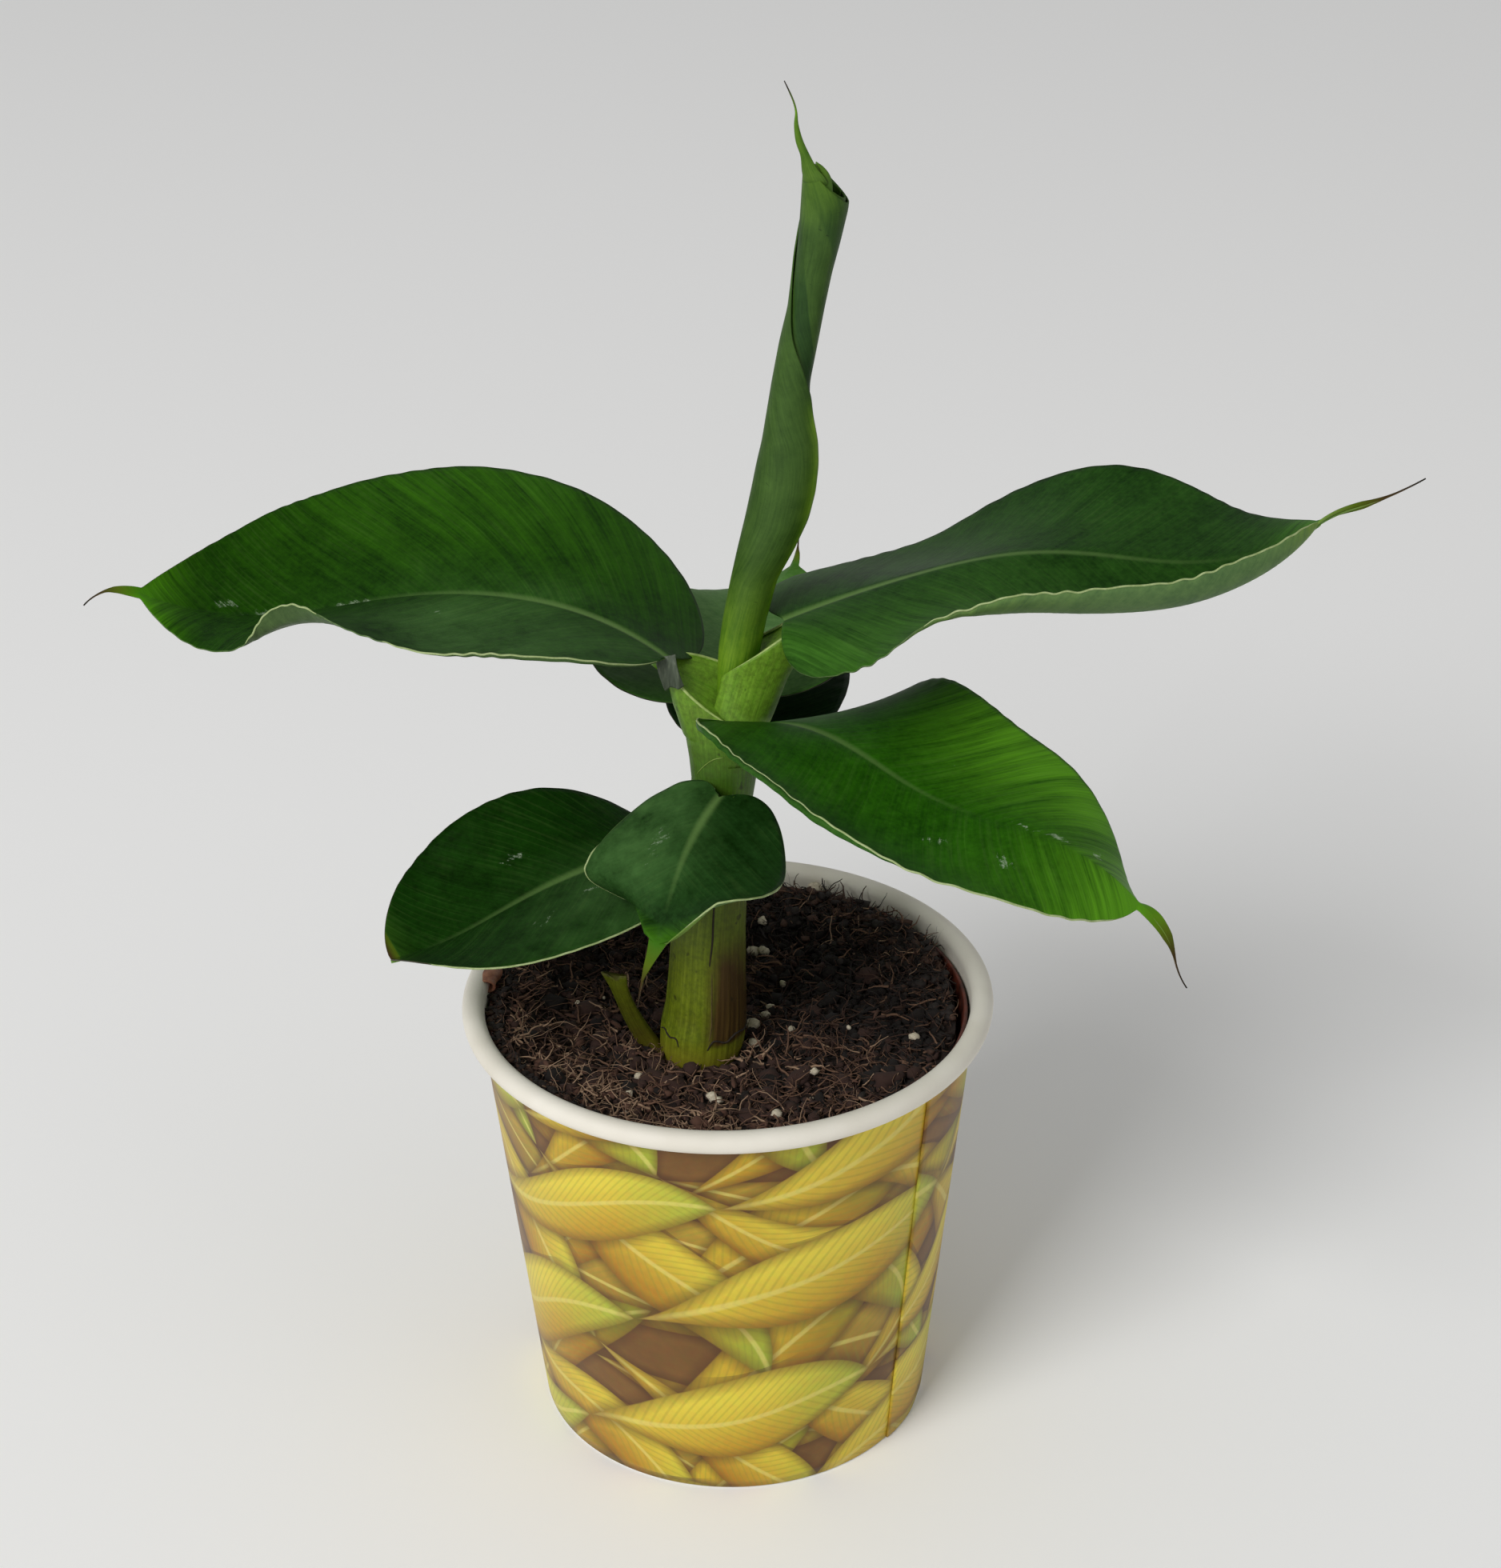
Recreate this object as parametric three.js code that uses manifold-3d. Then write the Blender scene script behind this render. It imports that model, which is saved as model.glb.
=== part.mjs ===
// Young banana plant in a printed paper pot. Units are millimetres, +Z is up,
// X runs to the right of the photograph and Y away from the camera.
// The origin is the centre of the pot's flat underside.
import * as THREE from 'three';
import { mergeVertices } from 'three/addons/utils/BufferGeometryUtils.js';
import Module from 'manifold-3d';

const wasm = await Module();
wasm.setup();
const { Manifold, Mesh: SolidMesh } = wasm;

// Driving dimensions
const GAP = 0.4;                  // clearance between pieces that touch in the real plant
const POT_HEIGHT = 118;
const POT_FOOT_R = 49.9;
const POT_TOP_R = 61.5;           // wall just under the rolled rim
const POT_WALL = 1.2;
const POT_FLOOR = 2.2;
const RIM_ROLL_R = 2.75;          // radius of the rolled edge
const RIM_OUTER_R = 66;
const POT_SIDES = 56;
const LINER_GAP = 0.7;            // paper wall to grower's pot
const LINER_WALL = 1.3;
const LINER_FLOOR = 1.5;
const LINER_TOP = 113;
const SOIL_LEVEL = 104.5;
const SOIL_RISE = 6;              // heap towards the back right
const HEAP_AZIMUTH = 50;          // degrees
const SOIL_SIDES = 40;
const STEM_SIDES = 20;
const ROLL_SIDES = 20;
const ROLL_STEP = 0.1;            // lap of the rolled leaf, as a share of its radius
const BLADE_ACROSS = 4;           // cells from midrib to margin
const BLADE_ALONG = 15;           // cells from base to tip
const STEPS = 96;                 // steps of the steered midrib
const STALK_STEPS = 6;
const GRID = 200;                 // points lie on a grid of 1/200 mm

const rad = (deg) => (deg * Math.PI) / 180;
const vec = (a) => new THREE.Vector3(a[0], a[1], a[2]);
const X_AXIS = new THREE.Vector3(1, 0, 0);
const Y_AXIS = new THREE.Vector3(0, 1, 0);
const clamp = (x, a, b) => Math.min(b, Math.max(a, x));

// A smooth curve through values given at equal steps of s from 0 to 1
function smooth(values, s) {
  const n = values.length - 1;
  const x = clamp(s, 0, 1) * n;
  const i = Math.min(Math.floor(x), n - 1);
  const t = x - i;
  const at = (k) => {
    if (k < 0) return 2 * values[0] - values[1];
    return k > n ? 2 * values[n] - values[n - 1] : values[k];
  };
  const [a, b, c, d] = [at(i - 1), at(i), at(i + 1), at(i + 2)];
  return 0.5 * (2 * b + (c - a) * t + (2 * a - 5 * b + 4 * c - d) * t * t + (3 * b - a - 3 * c + d) * t ** 3);
}

// Closed solid from points and triangles, faces out
function solid(points, faces) {
  const flat = new Float32Array(points.length * 3);
  points.forEach((p, i) => flat.set([p.x, p.y, p.z], 3 * i));
  const wrap = (list) => {
    const triVerts = new Uint32Array(list.flat());
    return new Manifold(new SolidMesh({ numProp: 3, vertProperties: flat, triVerts }));
  };
  const made = wrap(faces);
  return made.volume() < 0 ? wrap(faces.map(([a, b, c]) => [a, c, b])) : made;
}

// Solid lofted through rings of equal count, with flat ends
function loft(rings) {
  const n = rings[0].length;
  const points = rings.flat();
  const faces = [];
  for (let i = 0; i < rings.length - 1; i += 1) {
    for (let j = 0; j < n; j += 1) {
      const a = i * n + j;
      const b = i * n + ((j + 1) % n);
      faces.push([a, b, b + n], [a, b + n, a + n]);
    }
  }
  const last = rings.length - 1;
  for (const [end, base, flip] of [[rings[0], 0, true], [rings[last], last * n, false]]) {
    const mid = end.reduce((m, p) => m.add(p), new THREE.Vector3()).divideScalar(n);
    const c = points.push(mid) - 1;
    for (let j = 0; j < n; j += 1) {
      const a = base + j;
      const b = base + ((j + 1) % n);
      faces.push(flip ? [b, a, c] : [a, b, c]);
    }
  }
  return solid(points, faces);
}

// Elliptical ring about a point, across the two given unit vectors
function ring(centre, u, v, a, b, sides) {
  const points = [];
  for (let k = 0; k < sides; k += 1) {
    const f = (2 * Math.PI * k) / sides;
    points.push(centre.clone().addScaledVector(u, a * Math.cos(f)).addScaledVector(v, b * Math.sin(f)));
  }
  return points;
}

// The main piece of a body: sealed hollows are filled and loose scraps dropped
function main(made) {
  return made.decompose().reduce((best, piece) => (piece.volume() > best.volume() ? piece : best));
}

// The main piece with its points on the grid, so that no sliver is left
const SMOOTHING = 0.05;
function settled(body) {
  const mesh = main(body).simplify(SMOOTHING).getMesh();
  const places = new Map();
  const points = [];
  const number = [];
  for (let i = 0; i < mesh.numVert; i += 1) {
    const at = [0, 1, 2].map((k) => Math.round(mesh.vertProperties[i * mesh.numProp + k] * GRID));
    const key = at.join();
    if (!places.has(key)) places.set(key, points.push(vec(at).divideScalar(GRID)) - 1);
    number.push(places.get(key));
  }
  // A face and the same face turned over cancel out
  const faces = new Map();
  for (let i = 0; i < mesh.triVerts.length; i += 3) {
    let f = [0, 1, 2].map((k) => number[mesh.triVerts[i + k]]);
    if (new Set(f).size < 3) continue;
    while (f[0] > f[1] || f[0] > f[2]) f = [f[1], f[2], f[0]];
    const back = [f[0], f[2], f[1]].join();
    if (faces.get(back)?.length) faces.get(back).pop();
    else faces.set(f.join(), [...(faces.get(f.join()) ?? []), f]);
  }
  return main(solid(points, [...faces.values()].flat()));
}

// Round solids from a profile of [radius, height] that starts and ends on the axis
function turned(profile, segments) {
  const shape = new THREE.LatheGeometry(profile.map(([r, z]) => new THREE.Vector2(r, z)), segments);
  shape.rotateX(Math.PI / 2);
  shape.deleteAttribute('uv');
  shape.deleteAttribute('normal');
  const merged = mergeVertices(shape, 1e-5);
  const pos = merged.attributes.position;
  const index = merged.index.array;
  const points = [];
  for (let i = 0; i < pos.count; i += 1) points.push(new THREE.Vector3().fromBufferAttribute(pos, i));
  const faces = [];
  for (let i = 0; i < index.length; i += 3) {
    const f = [index[i], index[i + 1], index[i + 2]];
    if (new Set(f).size === 3) faces.push(f);
  }
  return solid(points, faces);
}

// Paper pot: tapered cup with a flat floor and a rolled rim
const FOOT_EDGE = 0.5;
const slope = (POT_TOP_R - POT_FOOT_R) / (POT_HEIGHT - 2 * RIM_ROLL_R);
const wallR = (z) => POT_FOOT_R + slope * z;
function paperPot() {
  const profile = [[0, 0], [POT_FOOT_R - FOOT_EDGE, 0], [POT_FOOT_R, FOOT_EDGE]];
  const rimR = RIM_OUTER_R - RIM_ROLL_R;
  const rimZ = POT_HEIGHT - RIM_ROLL_R;
  profile.push([wallR(rimZ - RIM_ROLL_R), rimZ - RIM_ROLL_R]);
  for (let k = 0; k <= 8; k += 1) {
    const f = rad(-80 + (k * 240) / 8);
    profile.push([rimR + RIM_ROLL_R * Math.cos(f), rimZ + RIM_ROLL_R * Math.sin(f)]);
  }
  profile.push([wallR(rimZ - 2) - POT_WALL, rimZ - 2]);
  profile.push([wallR(POT_FLOOR) - POT_WALL, POT_FLOOR], [0, POT_FLOOR]);
  return turned(profile, POT_SIDES);
}

// Grower's pot inside the paper one
const linerR = (z) => wallR(z) - POT_WALL - LINER_GAP;
function nurseryPot() {
  const z0 = POT_FLOOR + GAP;
  const z1 = z0 + LINER_FLOOR;
  return turned([[0, z0], [linerR(z0), z0], [linerR(LINER_TOP), LINER_TOP],
    [linerR(LINER_TOP) - LINER_WALL, LINER_TOP], [linerR(z1) - LINER_WALL, z1], [0, z1]], POT_SIDES);
}

// Soil: fills the grower's pot and is heaped at the back right
function soilTop(r, f) {
  const heap = SOIL_RISE * (r / POT_TOP_R) ** 2 * (0.53 + 0.64 * Math.cos(f - rad(HEAP_AZIMUTH)));
  return SOIL_LEVEL + heap + 0.9 * Math.sin(3 * f + 0.13 * r) * Math.sin(r / 9);
}
function soil() {
  const z0 = POT_FLOOR + GAP + LINER_FLOOR + GAP;
  const reach = (z) => linerR(z) - LINER_WALL - GAP;
  const round = (r, height) => [...Array(SOIL_SIDES).keys()].map((k) => {
    const f = (2 * Math.PI * k) / SOIL_SIDES;
    return new THREE.Vector3(r * Math.cos(f), r * Math.sin(f), height(r, f));
  });
  const rows = [round(4, () => z0), round(reach(z0), () => z0)];
  const brink = reach(SOIL_LEVEL - 2.5);
  for (const share of [1, 0.86, 0.66, 0.44, 0.22, 0.05]) rows.push(round(share * brink, soilTop));
  return loft(rows);
}

// Pseudostem: rows of height, centre x, centre y, half width, half depth
const STEM = [
  [96, -7.4, -8, 5.5, 5.5], [99.5, -7.3, -8, 7.8, 7.8], [103.5, -7, -8, 9.6, 9.6],
  [108, -6.5, -7.9, 10.4, 10.4], [112.5, -6.1, -7.6, 10.5, 10.5], [118, -5.4, -7.1, 9.9, 9.9],
  [127, -4.9, -6.3, 9.4, 9.3], [138, -4.4, -5.4, 9, 8.8], [150, -3.2, -4.2, 8.3, 8.2],
  [162, -2, -3.2, 7.9, 7.8], [172, -0.8, -2.3, 7.6, 7.6], [178, 0.1, -1.8, 7.7, 7.5],
  [184, 0.2, -1.2, 8.3, 7.5], [189, -0.2, -0.7, 9.1, 7.6], [194.5, -0.5, -0.2, 10.6, 7.8],
];
function pseudostem(grow = 0) {
  return loft(STEM.map(([z, cx, cy, a, b], i) => {
    const end = i === 0 ? -grow : i === STEM.length - 1 ? grow : 0;
    return ring(new THREE.Vector3(cx, cy, z + end), X_AXIS, Y_AXIS, a + grow, b + grow, STEM_SIDES);
  }));
}

// Stub of a cut side shoot: flat stalk with a forked end
const STUB_FOOT = [-16.9, -5.2, 100];
const STUB_TOP = [-27.4, -15, 131.5];
function cutStub(grow = 0) {
  const top = vec(STUB_TOP);
  const dir = top.clone().sub(vec(STUB_FOOT)).normalize();
  const foot = vec(STUB_FOOT).addScaledVector(dir, -grow);
  const u = new THREE.Vector3(0.8, -0.6, 0).cross(dir).cross(dir).normalize();
  const v = dir.clone().cross(u).normalize();
  const rows = [[0, 3.1, 2.2], [0.3, 2.7, 1.9], [0.6, 2.2, 1.5], [0.86, 2.3, 1.4], [1, 2.9, 1.2]];
  const stalk = loft(rows.map(([t, a, b]) => ring(foot.clone().lerp(top, t), u, v, a + grow, b + grow, 10)));
  if (grow) return stalk;
  const notch = loft([
    ring(top.clone().addScaledVector(dir, -3.2), u, v, 0.25, 4, 6),
    ring(top.clone().addScaledVector(dir, 1), u, v, 1.5, 4, 6),
  ]);
  return settled(stalk.subtract(notch));
}

// Rolled young leaf: rows of height, centre x, radius
const ROLL = [
  [194.9, 2.4, 4], [203, 3, 4.4], [211, 4, 4.9], [218, 5.2, 5.1], [228.7, 7.6, 5.4],
  [236, 10.3, 6.5], [244, 13, 7.3], [251, 14.6, 7.4], [257.5, 15.6, 7.1], [263, 16.2, 6.4],
  [270, 16.4, 5.4], [277, 17, 4.8], [287, 18.9, 4.7], [295, 20.6, 4.4], [303, 21.9, 4.7],
  [310, 23.2, 5.2], [318, 24.4, 5.8], [326, 24.8, 5.6], [335, 24.6, 5],
];
const ROLL_Y = 2;
const ROLL_TURN = 5.2;            // degrees of lap rotation per mm of height
const ROLL_LAP_Z = 303;           // height where the lap shows on the left side
const ROLL_CUT = { left: [19.6, 333], right: [30.6, 318] };
const ROLL_TAIL = [[19.8, 328], [19.9, 332], [18.6, 337], [17.9, 341], [16.6, 344.5], [15.6, 347]];
function rollClearance() {
  return loft(ROLL.map(([z, cx, r], i) => {
    const reach = r * (1 + ROLL_STEP) + GAP;
    const centre = new THREE.Vector3(cx, ROLL_Y, z - (i === 0 ? GAP : 0));
    return ring(centre, X_AXIS, Y_AXIS, reach, reach, ROLL_SIDES);
  }));
}
function rolledLeaf() {
  const rows = ROLL.map(([z, cx, r]) => {
    const lap = rad(180 + (ROLL_LAP_Z - z) * ROLL_TURN);
    const points = [];
    for (let k = 0; k < ROLL_SIDES; k += 1) {
      const share = k / (ROLL_SIDES - 1);
      const f = lap + share * 2 * Math.PI;
      const reach = r * (1 + ROLL_STEP * (1 - 2 * share));
      points.push(new THREE.Vector3(cx + reach * Math.cos(f), ROLL_Y + reach * Math.sin(f), z));
    }
    return points;
  });
  const roll = loft(rows);
  // The open end is cut on a slant
  const { left, right } = ROLL_CUT;
  const normal = new THREE.Vector3(left[1] - right[1], 0, right[0] - left[0]).normalize();
  const offset = normal.x * left[0] + normal.z * left[1];
  const [, lower] = roll.splitByPlane(normal.toArray(), offset);
  const tail = loft(ROLL_TAIL.map(([x, z], i) => {
    const r = 1.5 - 1.15 * (i / (ROLL_TAIL.length - 1)) ** 0.7;
    return ring(new THREE.Vector3(x + 0.5, ROLL_Y - 0.4, z), X_AXIS, Y_AXIS, r, r * 0.8, 8);
  }));
  return settled(lower.add(tail));
}

// Leaves. pitch and yaw steer the midrib from base to tip, tilt is the angle of each half at the midrib
// and curl what it gains by the margin, sweep turns the side veins towards the tip (all in degrees).
// width is half the blade's greatest width; blunt and taper shape the outline at base and tip.
// tail is the drawn-out tip; stalk joins the blade to the stem.
const LEAVES = {
  leaf_upper_left: {
    root: [-12.8, -2, 210.6], length: 137.1, width: 44.5, blunt: 0.52, taper: 0.78, thick: 1.7,
    pitch: [19, -2, -10, 32], yaw: [142, 160, 177, 197], sweep: [-15, 7, 0],
    tilt_left: [19, -2, 14, -9], tilt_right: [-24, 18, 26, 24],
    curl_left: [-12, 31, -32], curl_right: [-7, -6, 21],
    tail: { length: 15, pitch: [26, 8, -26, -48], yaw: [196, 188, 182, 180], wide: 2.2 },
    stalk: { from: [-3.5, -1.5, 188], lead: 9, reach: 9, azimuth: 175, wide: [7.5, 3.9], deep: [5, 2.6] },
  },
  leaf_upper_right: {
    root: [14.9, 0.2, 218.8], length: 126.6, width: 41.3, blunt: 0.49, taper: 0.76, thick: 1.6,
    pitch: [19, 14, -3, 34], yaw: [10, -1, -11, 5], sweep: [-24, -4, 22],
    tilt_left: [3, -18, 10, -3], tilt_right: [9, -9, -26, -11],
    curl_left: [-19, 18, -27], curl_right: [-68, 95, 156],
    tail: { length: 26.5, pitch: [36, 17, 24, 32], yaw: [0, 0, 0, 0], wide: 1.9 },
    stalk: { from: [5.2, -1, 195.5], lead: 8, reach: 9, azimuth: 10, wide: [6.4, 7.2, 4.2], deep: [6, 5, 2.8] },
  },
  leaf_front_right: {
    root: [8.4, -7.3, 195.2], length: 107.3, width: 40.2, blunt: 0.39, taper: 0.71, thick: 1.5,
    pitch: [25, -15, -1, -48], yaw: [-41, -40, -32, -18], sweep: [-1, -13, 19],
    tilt_left: [-19, 2, 3, -26], tilt_right: [25, 0, -9, -10],
    curl_left: [-14, 0, -9], curl_right: [-7, 49, -29],
    tail: { length: 25, pitch: [-34, -58, -76, -58], yaw: [-18, -10, 0, 0], wide: 2.2 },
    stalk: { from: [2, -3, 181], lead: 6, reach: 6, azimuth: -40, wide: [4.5, 3.6], deep: [3, 2.4] },
  },
  leaf_front_small: {
    root: [-1, -16, 180.8], length: 41.5, width: 26.2, blunt: 0.44, taper: 0.18, thick: 1.2,
    pitch: [-10, -20, -43, -51], yaw: [242, 246, 246, 244], sweep: [-48, 2, -19],
    tilt_left: [-17, -17, 14, 40], tilt_right: [-6, -14, -15, -51],
    curl_left: [-4, 1, 28], curl_right: [0, 0, -23],
    tail: { length: 20, pitch: [-56, -74, -84, -88], yaw: [244, 240, 230, 230], wide: 3.2 },
    stalk: { from: [0.6, -5, 168], lead: 6, reach: 5, azimuth: 250, wide: [4, 3], deep: [2.6, 2] },
  },
  leaf_lower_left: {
    root: [-15.8, 3.6, 155.2], length: 71.7, width: 28.8, blunt: 0.42, taper: 0.56, thick: 1.2,
    pitch: [8, -11, -20, -3], yaw: [205, 205, 203, 199], sweep: [-22, 8, 10],
    tilt_left: [-4, 0, 11, 25], tilt_right: [0, 19, 19, 24],
    curl_left: [-2, -9, 12], curl_right: [-3, 17, 6],
    tail: null,
    stalk: { from: [-5.5, -2, 142], lead: 6, reach: 6, azimuth: 205, wide: [5, 3.2], deep: [3, 2.2] },
  },
  leaf_back_upper: {
    root: [0.5, 10, 193.3], length: 82.3, width: 34, blunt: 0.39, taper: 0.84, thick: 1.3,
    pitch: [8, -4, -5, 9], yaw: [96, 82, 70, 64], sweep: [-24, 11, 23],
    tilt_left: [12, 3, 0, -33], tilt_right: [11, 6, -1, -10],
    curl_left: [-3, 3, -19], curl_right: [0, -1, -4],
    tail: { length: 8, pitch: [30, 60, 75, 80], yaw: [64, 64, 64, 64], wide: 1.8 },
    stalk: { from: [-0.5, 4, 183], lead: 6, reach: 6, azimuth: 95, wide: [5, 3.4], deep: [3, 2.3] },
  },
  leaf_back_lower: {
    root: [4.2, 10.5, 181.8], length: 69.3, width: 22.6, blunt: 0.43, taper: 0.65, thick: 1.2,
    pitch: [9, -1, -11, -20], yaw: [79, 82, 84, 86], sweep: [-24, 8, 25],
    tilt_left: [3, 2, 1, 0], tilt_right: [-5, 0, 2, 2],
    curl_left: [3, 0, 0], curl_right: [-5, 3, 0],
    tail: { length: 8, pitch: [-22, -40, -60, -75], yaw: [86, 86, 86, 86], wide: 1.8 },
    stalk: { from: [1.6, 3.5, 170], lead: 6, reach: 5, azimuth: 75, wide: [4.4, 3], deep: [2.8, 2.1] },
  },
};

// Line that starts at a point and follows pitch and yaw, as centres with their directions
function steered(start, length, pitch, yaw, steps) {
  const line = [];
  const p = start.clone();
  let last = null;
  for (let i = 0; i <= steps; i += 1) {
    const s = i / steps;
    const a = rad(smooth(pitch, s));
    const b = rad(smooth(yaw, s));
    const dir = new THREE.Vector3(Math.cos(a) * Math.cos(b), Math.cos(a) * Math.sin(b), Math.sin(a));
    if (last) p.addScaledVector(dir.clone().add(last), length / steps / 2);
    last = dir;
    const side = new THREE.Vector3(Math.sin(b), -Math.cos(b), 0);
    line.push({ s, p: p.clone(), dir, side, up: side.clone().cross(dir) });
  }
  return line;
}
const midribs = {};
for (const [name, L] of Object.entries(LEAVES)) {
  midribs[name] = steered(vec(L.root), L.length, L.pitch, L.yaw, STEPS);
}

function halfWidth(L, s) {
  const peak = L.blunt / (L.blunt + L.taper);
  const t = clamp(s, 1e-6, 1 - 1e-6);
  const w = L.width * (t / peak) ** L.blunt * ((1 - t) / (1 - peak)) ** L.taper;
  const neck = L.tail ? L.tail.wide : 2;
  return Math.max(Math.hypot(w, neck * clamp((s - 0.8) / 0.2, 0, 1) ** 2), 2);
}

// Point of the blade at s from base to tip and v from the left margin (-1) to the right (1)
function bladePoint(name, s, v) {
  const L = LEAVES[name];
  const m = midribs[name][Math.round(s * STEPS)];
  const hand = v < 0 ? 'left' : 'right';
  const tilt = rad(smooth(L[`tilt_${hand}`], s));
  const curl = rad(smooth(L[`curl_${hand}`], s));
  const sweep = rad(smooth(L.sweep, s));
  const w = halfWidth(L, s);
  const u = Math.abs(v);
  let [out, rise] = [0, 0];
  const n = 24;
  for (let k = 0; k < n; k += 1) {
    const q = ((k + 0.5) / n) * u;
    out += (Math.cos(tilt + curl * q * q) * u) / n;
    rise += (Math.sin(tilt + curl * q * q) * u) / n;
  }
  return m.p.clone()
    .addScaledVector(m.dir, w * Math.sin(sweep) * u)
    .addScaledVector(m.side, Math.sign(v) * w * Math.cos(sweep) * out)
    .addScaledVector(m.up, w * Math.cos(sweep) * rise);
}

// Stations along a leaf, closer together at base and tip
const stations = [...Array(BLADE_ALONG + 1).keys()].map((i) => {
  const t = i / BLADE_ALONG;
  return Math.round((0.55 * t + 0.45 * (0.5 - 0.5 * Math.cos(Math.PI * t))) * STEPS) / STEPS;
});
function blade(name) {
  const L = LEAVES[name];
  const rows = [];
  for (const s of stations) {
    const row = [];
    for (let j = -BLADE_ACROSS; j <= BLADE_ACROSS; j += 1) row.push(bladePoint(name, s, j / BLADE_ACROSS));
    rows.push(row);
  }
  const [n, m] = [rows.length, rows[0].length];
  const [top, bottom] = [[], []];
  for (let i = 0; i < n; i += 1) {
    for (let j = 0; j < m; j += 1) {
      const ds = rows[Math.min(i + 1, n - 1)][j].clone().sub(rows[Math.max(i - 1, 0)][j]);
      const dv = rows[i][Math.min(j + 1, m - 1)].clone().sub(rows[i][Math.max(j - 1, 0)]);
      const normal = dv.cross(ds).normalize();
      top.push(rows[i][j].clone().addScaledVector(normal, L.thick / 2));
      bottom.push(rows[i][j].clone().addScaledVector(normal, -L.thick / 2));
    }
  }
  const points = top.concat(bottom);
  const half = top.length;
  const faces = [];
  for (let i = 0; i < n - 1; i += 1) {
    for (let j = 0; j < m - 1; j += 1) {
      const [a, b, c, d] = [i * m + j, i * m + j + 1, (i + 1) * m + j + 1, (i + 1) * m + j];
      faces.push([a, b, c], [a, c, d], [b + half, a + half, c + half], [c + half, a + half, d + half]);
    }
  }
  const border = [];
  for (let j = 0; j < m - 1; j += 1) border.push([j + 1, j]);
  for (let i = 0; i < n - 1; i += 1) border.push([i * m, (i + 1) * m]);
  for (let j = 0; j < m - 1; j += 1) border.push([(n - 1) * m + j, (n - 1) * m + j + 1]);
  for (let i = 0; i < n - 1; i += 1) border.push([(i + 1) * m + m - 1, i * m + m - 1]);
  for (const [a, b] of border) faces.push([a, b, b + half], [a, b + half, a + half]);
  return solid(points, faces);
}

// Stalk from the stem to the base of the blade, as rings on a bending line
function stalkRings(name, grow) {
  const L = LEAVES[name];
  const { from, lead, reach, azimuth, wide, deep } = L.stalk;
  const first = midribs[name][0];
  const p0 = vec(from);
  const p3 = first.p.clone().addScaledVector(first.up, -deep[deep.length - 1] * 0.55);
  const out = new THREE.Vector3(Math.cos(rad(azimuth)), Math.sin(rad(azimuth)), 0);
  const p1 = p0.clone().add(new THREE.Vector3(0, 0, lead)).addScaledVector(out, lead * 0.2);
  const p2 = p3.clone().addScaledVector(first.dir, -reach);
  const curve = new THREE.CubicBezierCurve3(p0, p1, p2, p3);
  const turn = ((L.yaw[0] - azimuth + 540) % 360) - 180;
  const rings = [];
  for (let i = 0; i <= STALK_STEPS; i += 1) {
    const t = i / STALK_STEPS;
    const dir = curve.getTangent(t);
    const yaw = rad(azimuth + turn * t);
    let side = new THREE.Vector3(Math.sin(yaw), -Math.cos(yaw), 0);
    side = side.addScaledVector(dir, -side.dot(dir)).normalize();
    const up = side.clone().cross(dir).normalize();
    const centre = curve.getPoint(t).addScaledVector(dir, grow * (Math.floor(t) - Math.floor(1 - t)));
    rings.push(ring(centre, side, up, smooth(wide, t) + grow, smooth(deep, t) + grow, 12));
  }
  return rings;
}
function stalk(name, grow) {
  const rings = stalkRings(name, grow).map((points) => points.map((p) => p.toArray()));
  return Manifold.union(rings.slice(1).map((points, i) => Manifold.hull(rings[i].concat(points))));
}

// Midrib below the blade, carried on as the drawn-out tip
function rib(name) {
  const L = LEAVES[name];
  const rings = [];
  const [a0, b0] = [L.stalk.wide[L.stalk.wide.length - 1], L.stalk.deep[L.stalk.deep.length - 1]];
  for (const s of stations) {
    const m = midribs[name][Math.round(s * STEPS)];
    const fade = (1 - s) ** 1.3;
    const [a, b] = [1 + (a0 * 0.8 - 1) * fade, 0.9 + (b0 - 0.9) * fade];
    rings.push(ring(m.p.clone().addScaledVector(m.up, -b), m.side, m.up, a, b, 8));
  }
  if (L.tail) {
    const tip = midribs[name][STEPS];
    const line = steered(tip.p, L.tail.length, L.tail.pitch, L.tail.yaw, 7);
    for (const q of line.slice(1)) {
      const left = 1 - q.s;
      const a = 0.5 + (L.tail.wide - 0.5) * left ** 1.6;
      const b = 0.45 + 0.35 * left;
      rings.push(ring(q.p.clone().addScaledVector(q.up, -0.9 * left), q.side, q.up, a, b, 8));
    }
  }
  return loft(rings);
}

function leaf(name, cutters) {
  let body = main(Manifold.union([blade(name), stalk(name, 0), rib(name)]));
  for (const cutter of cutters) body = body.subtract(cutter);
  return settled(body);
}

// Every piece is cut clear of those that carry it
const stem = pseudostem();
const stemClear = pseudostem(GAP);
const stub = cutStub();
const rollClear = rollClearance();
const rightStalkClear = stalk('leaf_upper_right', GAP);
const leftStalkClear = stalk('leaf_upper_left', GAP);
const solids = {
  paper_pot: paperPot(),
  nursery_pot: nurseryPot(),
  soil: settled(soil().subtract(stemClear).subtract(cutStub(GAP))),
  pseudostem: stem,
  cut_stub: settled(stub.subtract(stemClear)),
  leaf_rolled: rolledLeaf(),
  leaf_upper_right: leaf('leaf_upper_right', [stemClear, rollClear]),
  leaf_upper_left: leaf('leaf_upper_left', [stemClear, rollClear, rightStalkClear]),
  leaf_front_right: leaf('leaf_front_right', [stemClear, rollClear, rightStalkClear, leftStalkClear]),
  leaf_front_small: leaf('leaf_front_small', [stemClear]),
  leaf_lower_left: leaf('leaf_lower_left', [stemClear]),
  leaf_back_upper: leaf('leaf_back_upper', [stemClear, rollClear, rightStalkClear, leftStalkClear]),
  leaf_back_lower: leaf('leaf_back_lower', [stemClear]),
};

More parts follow.
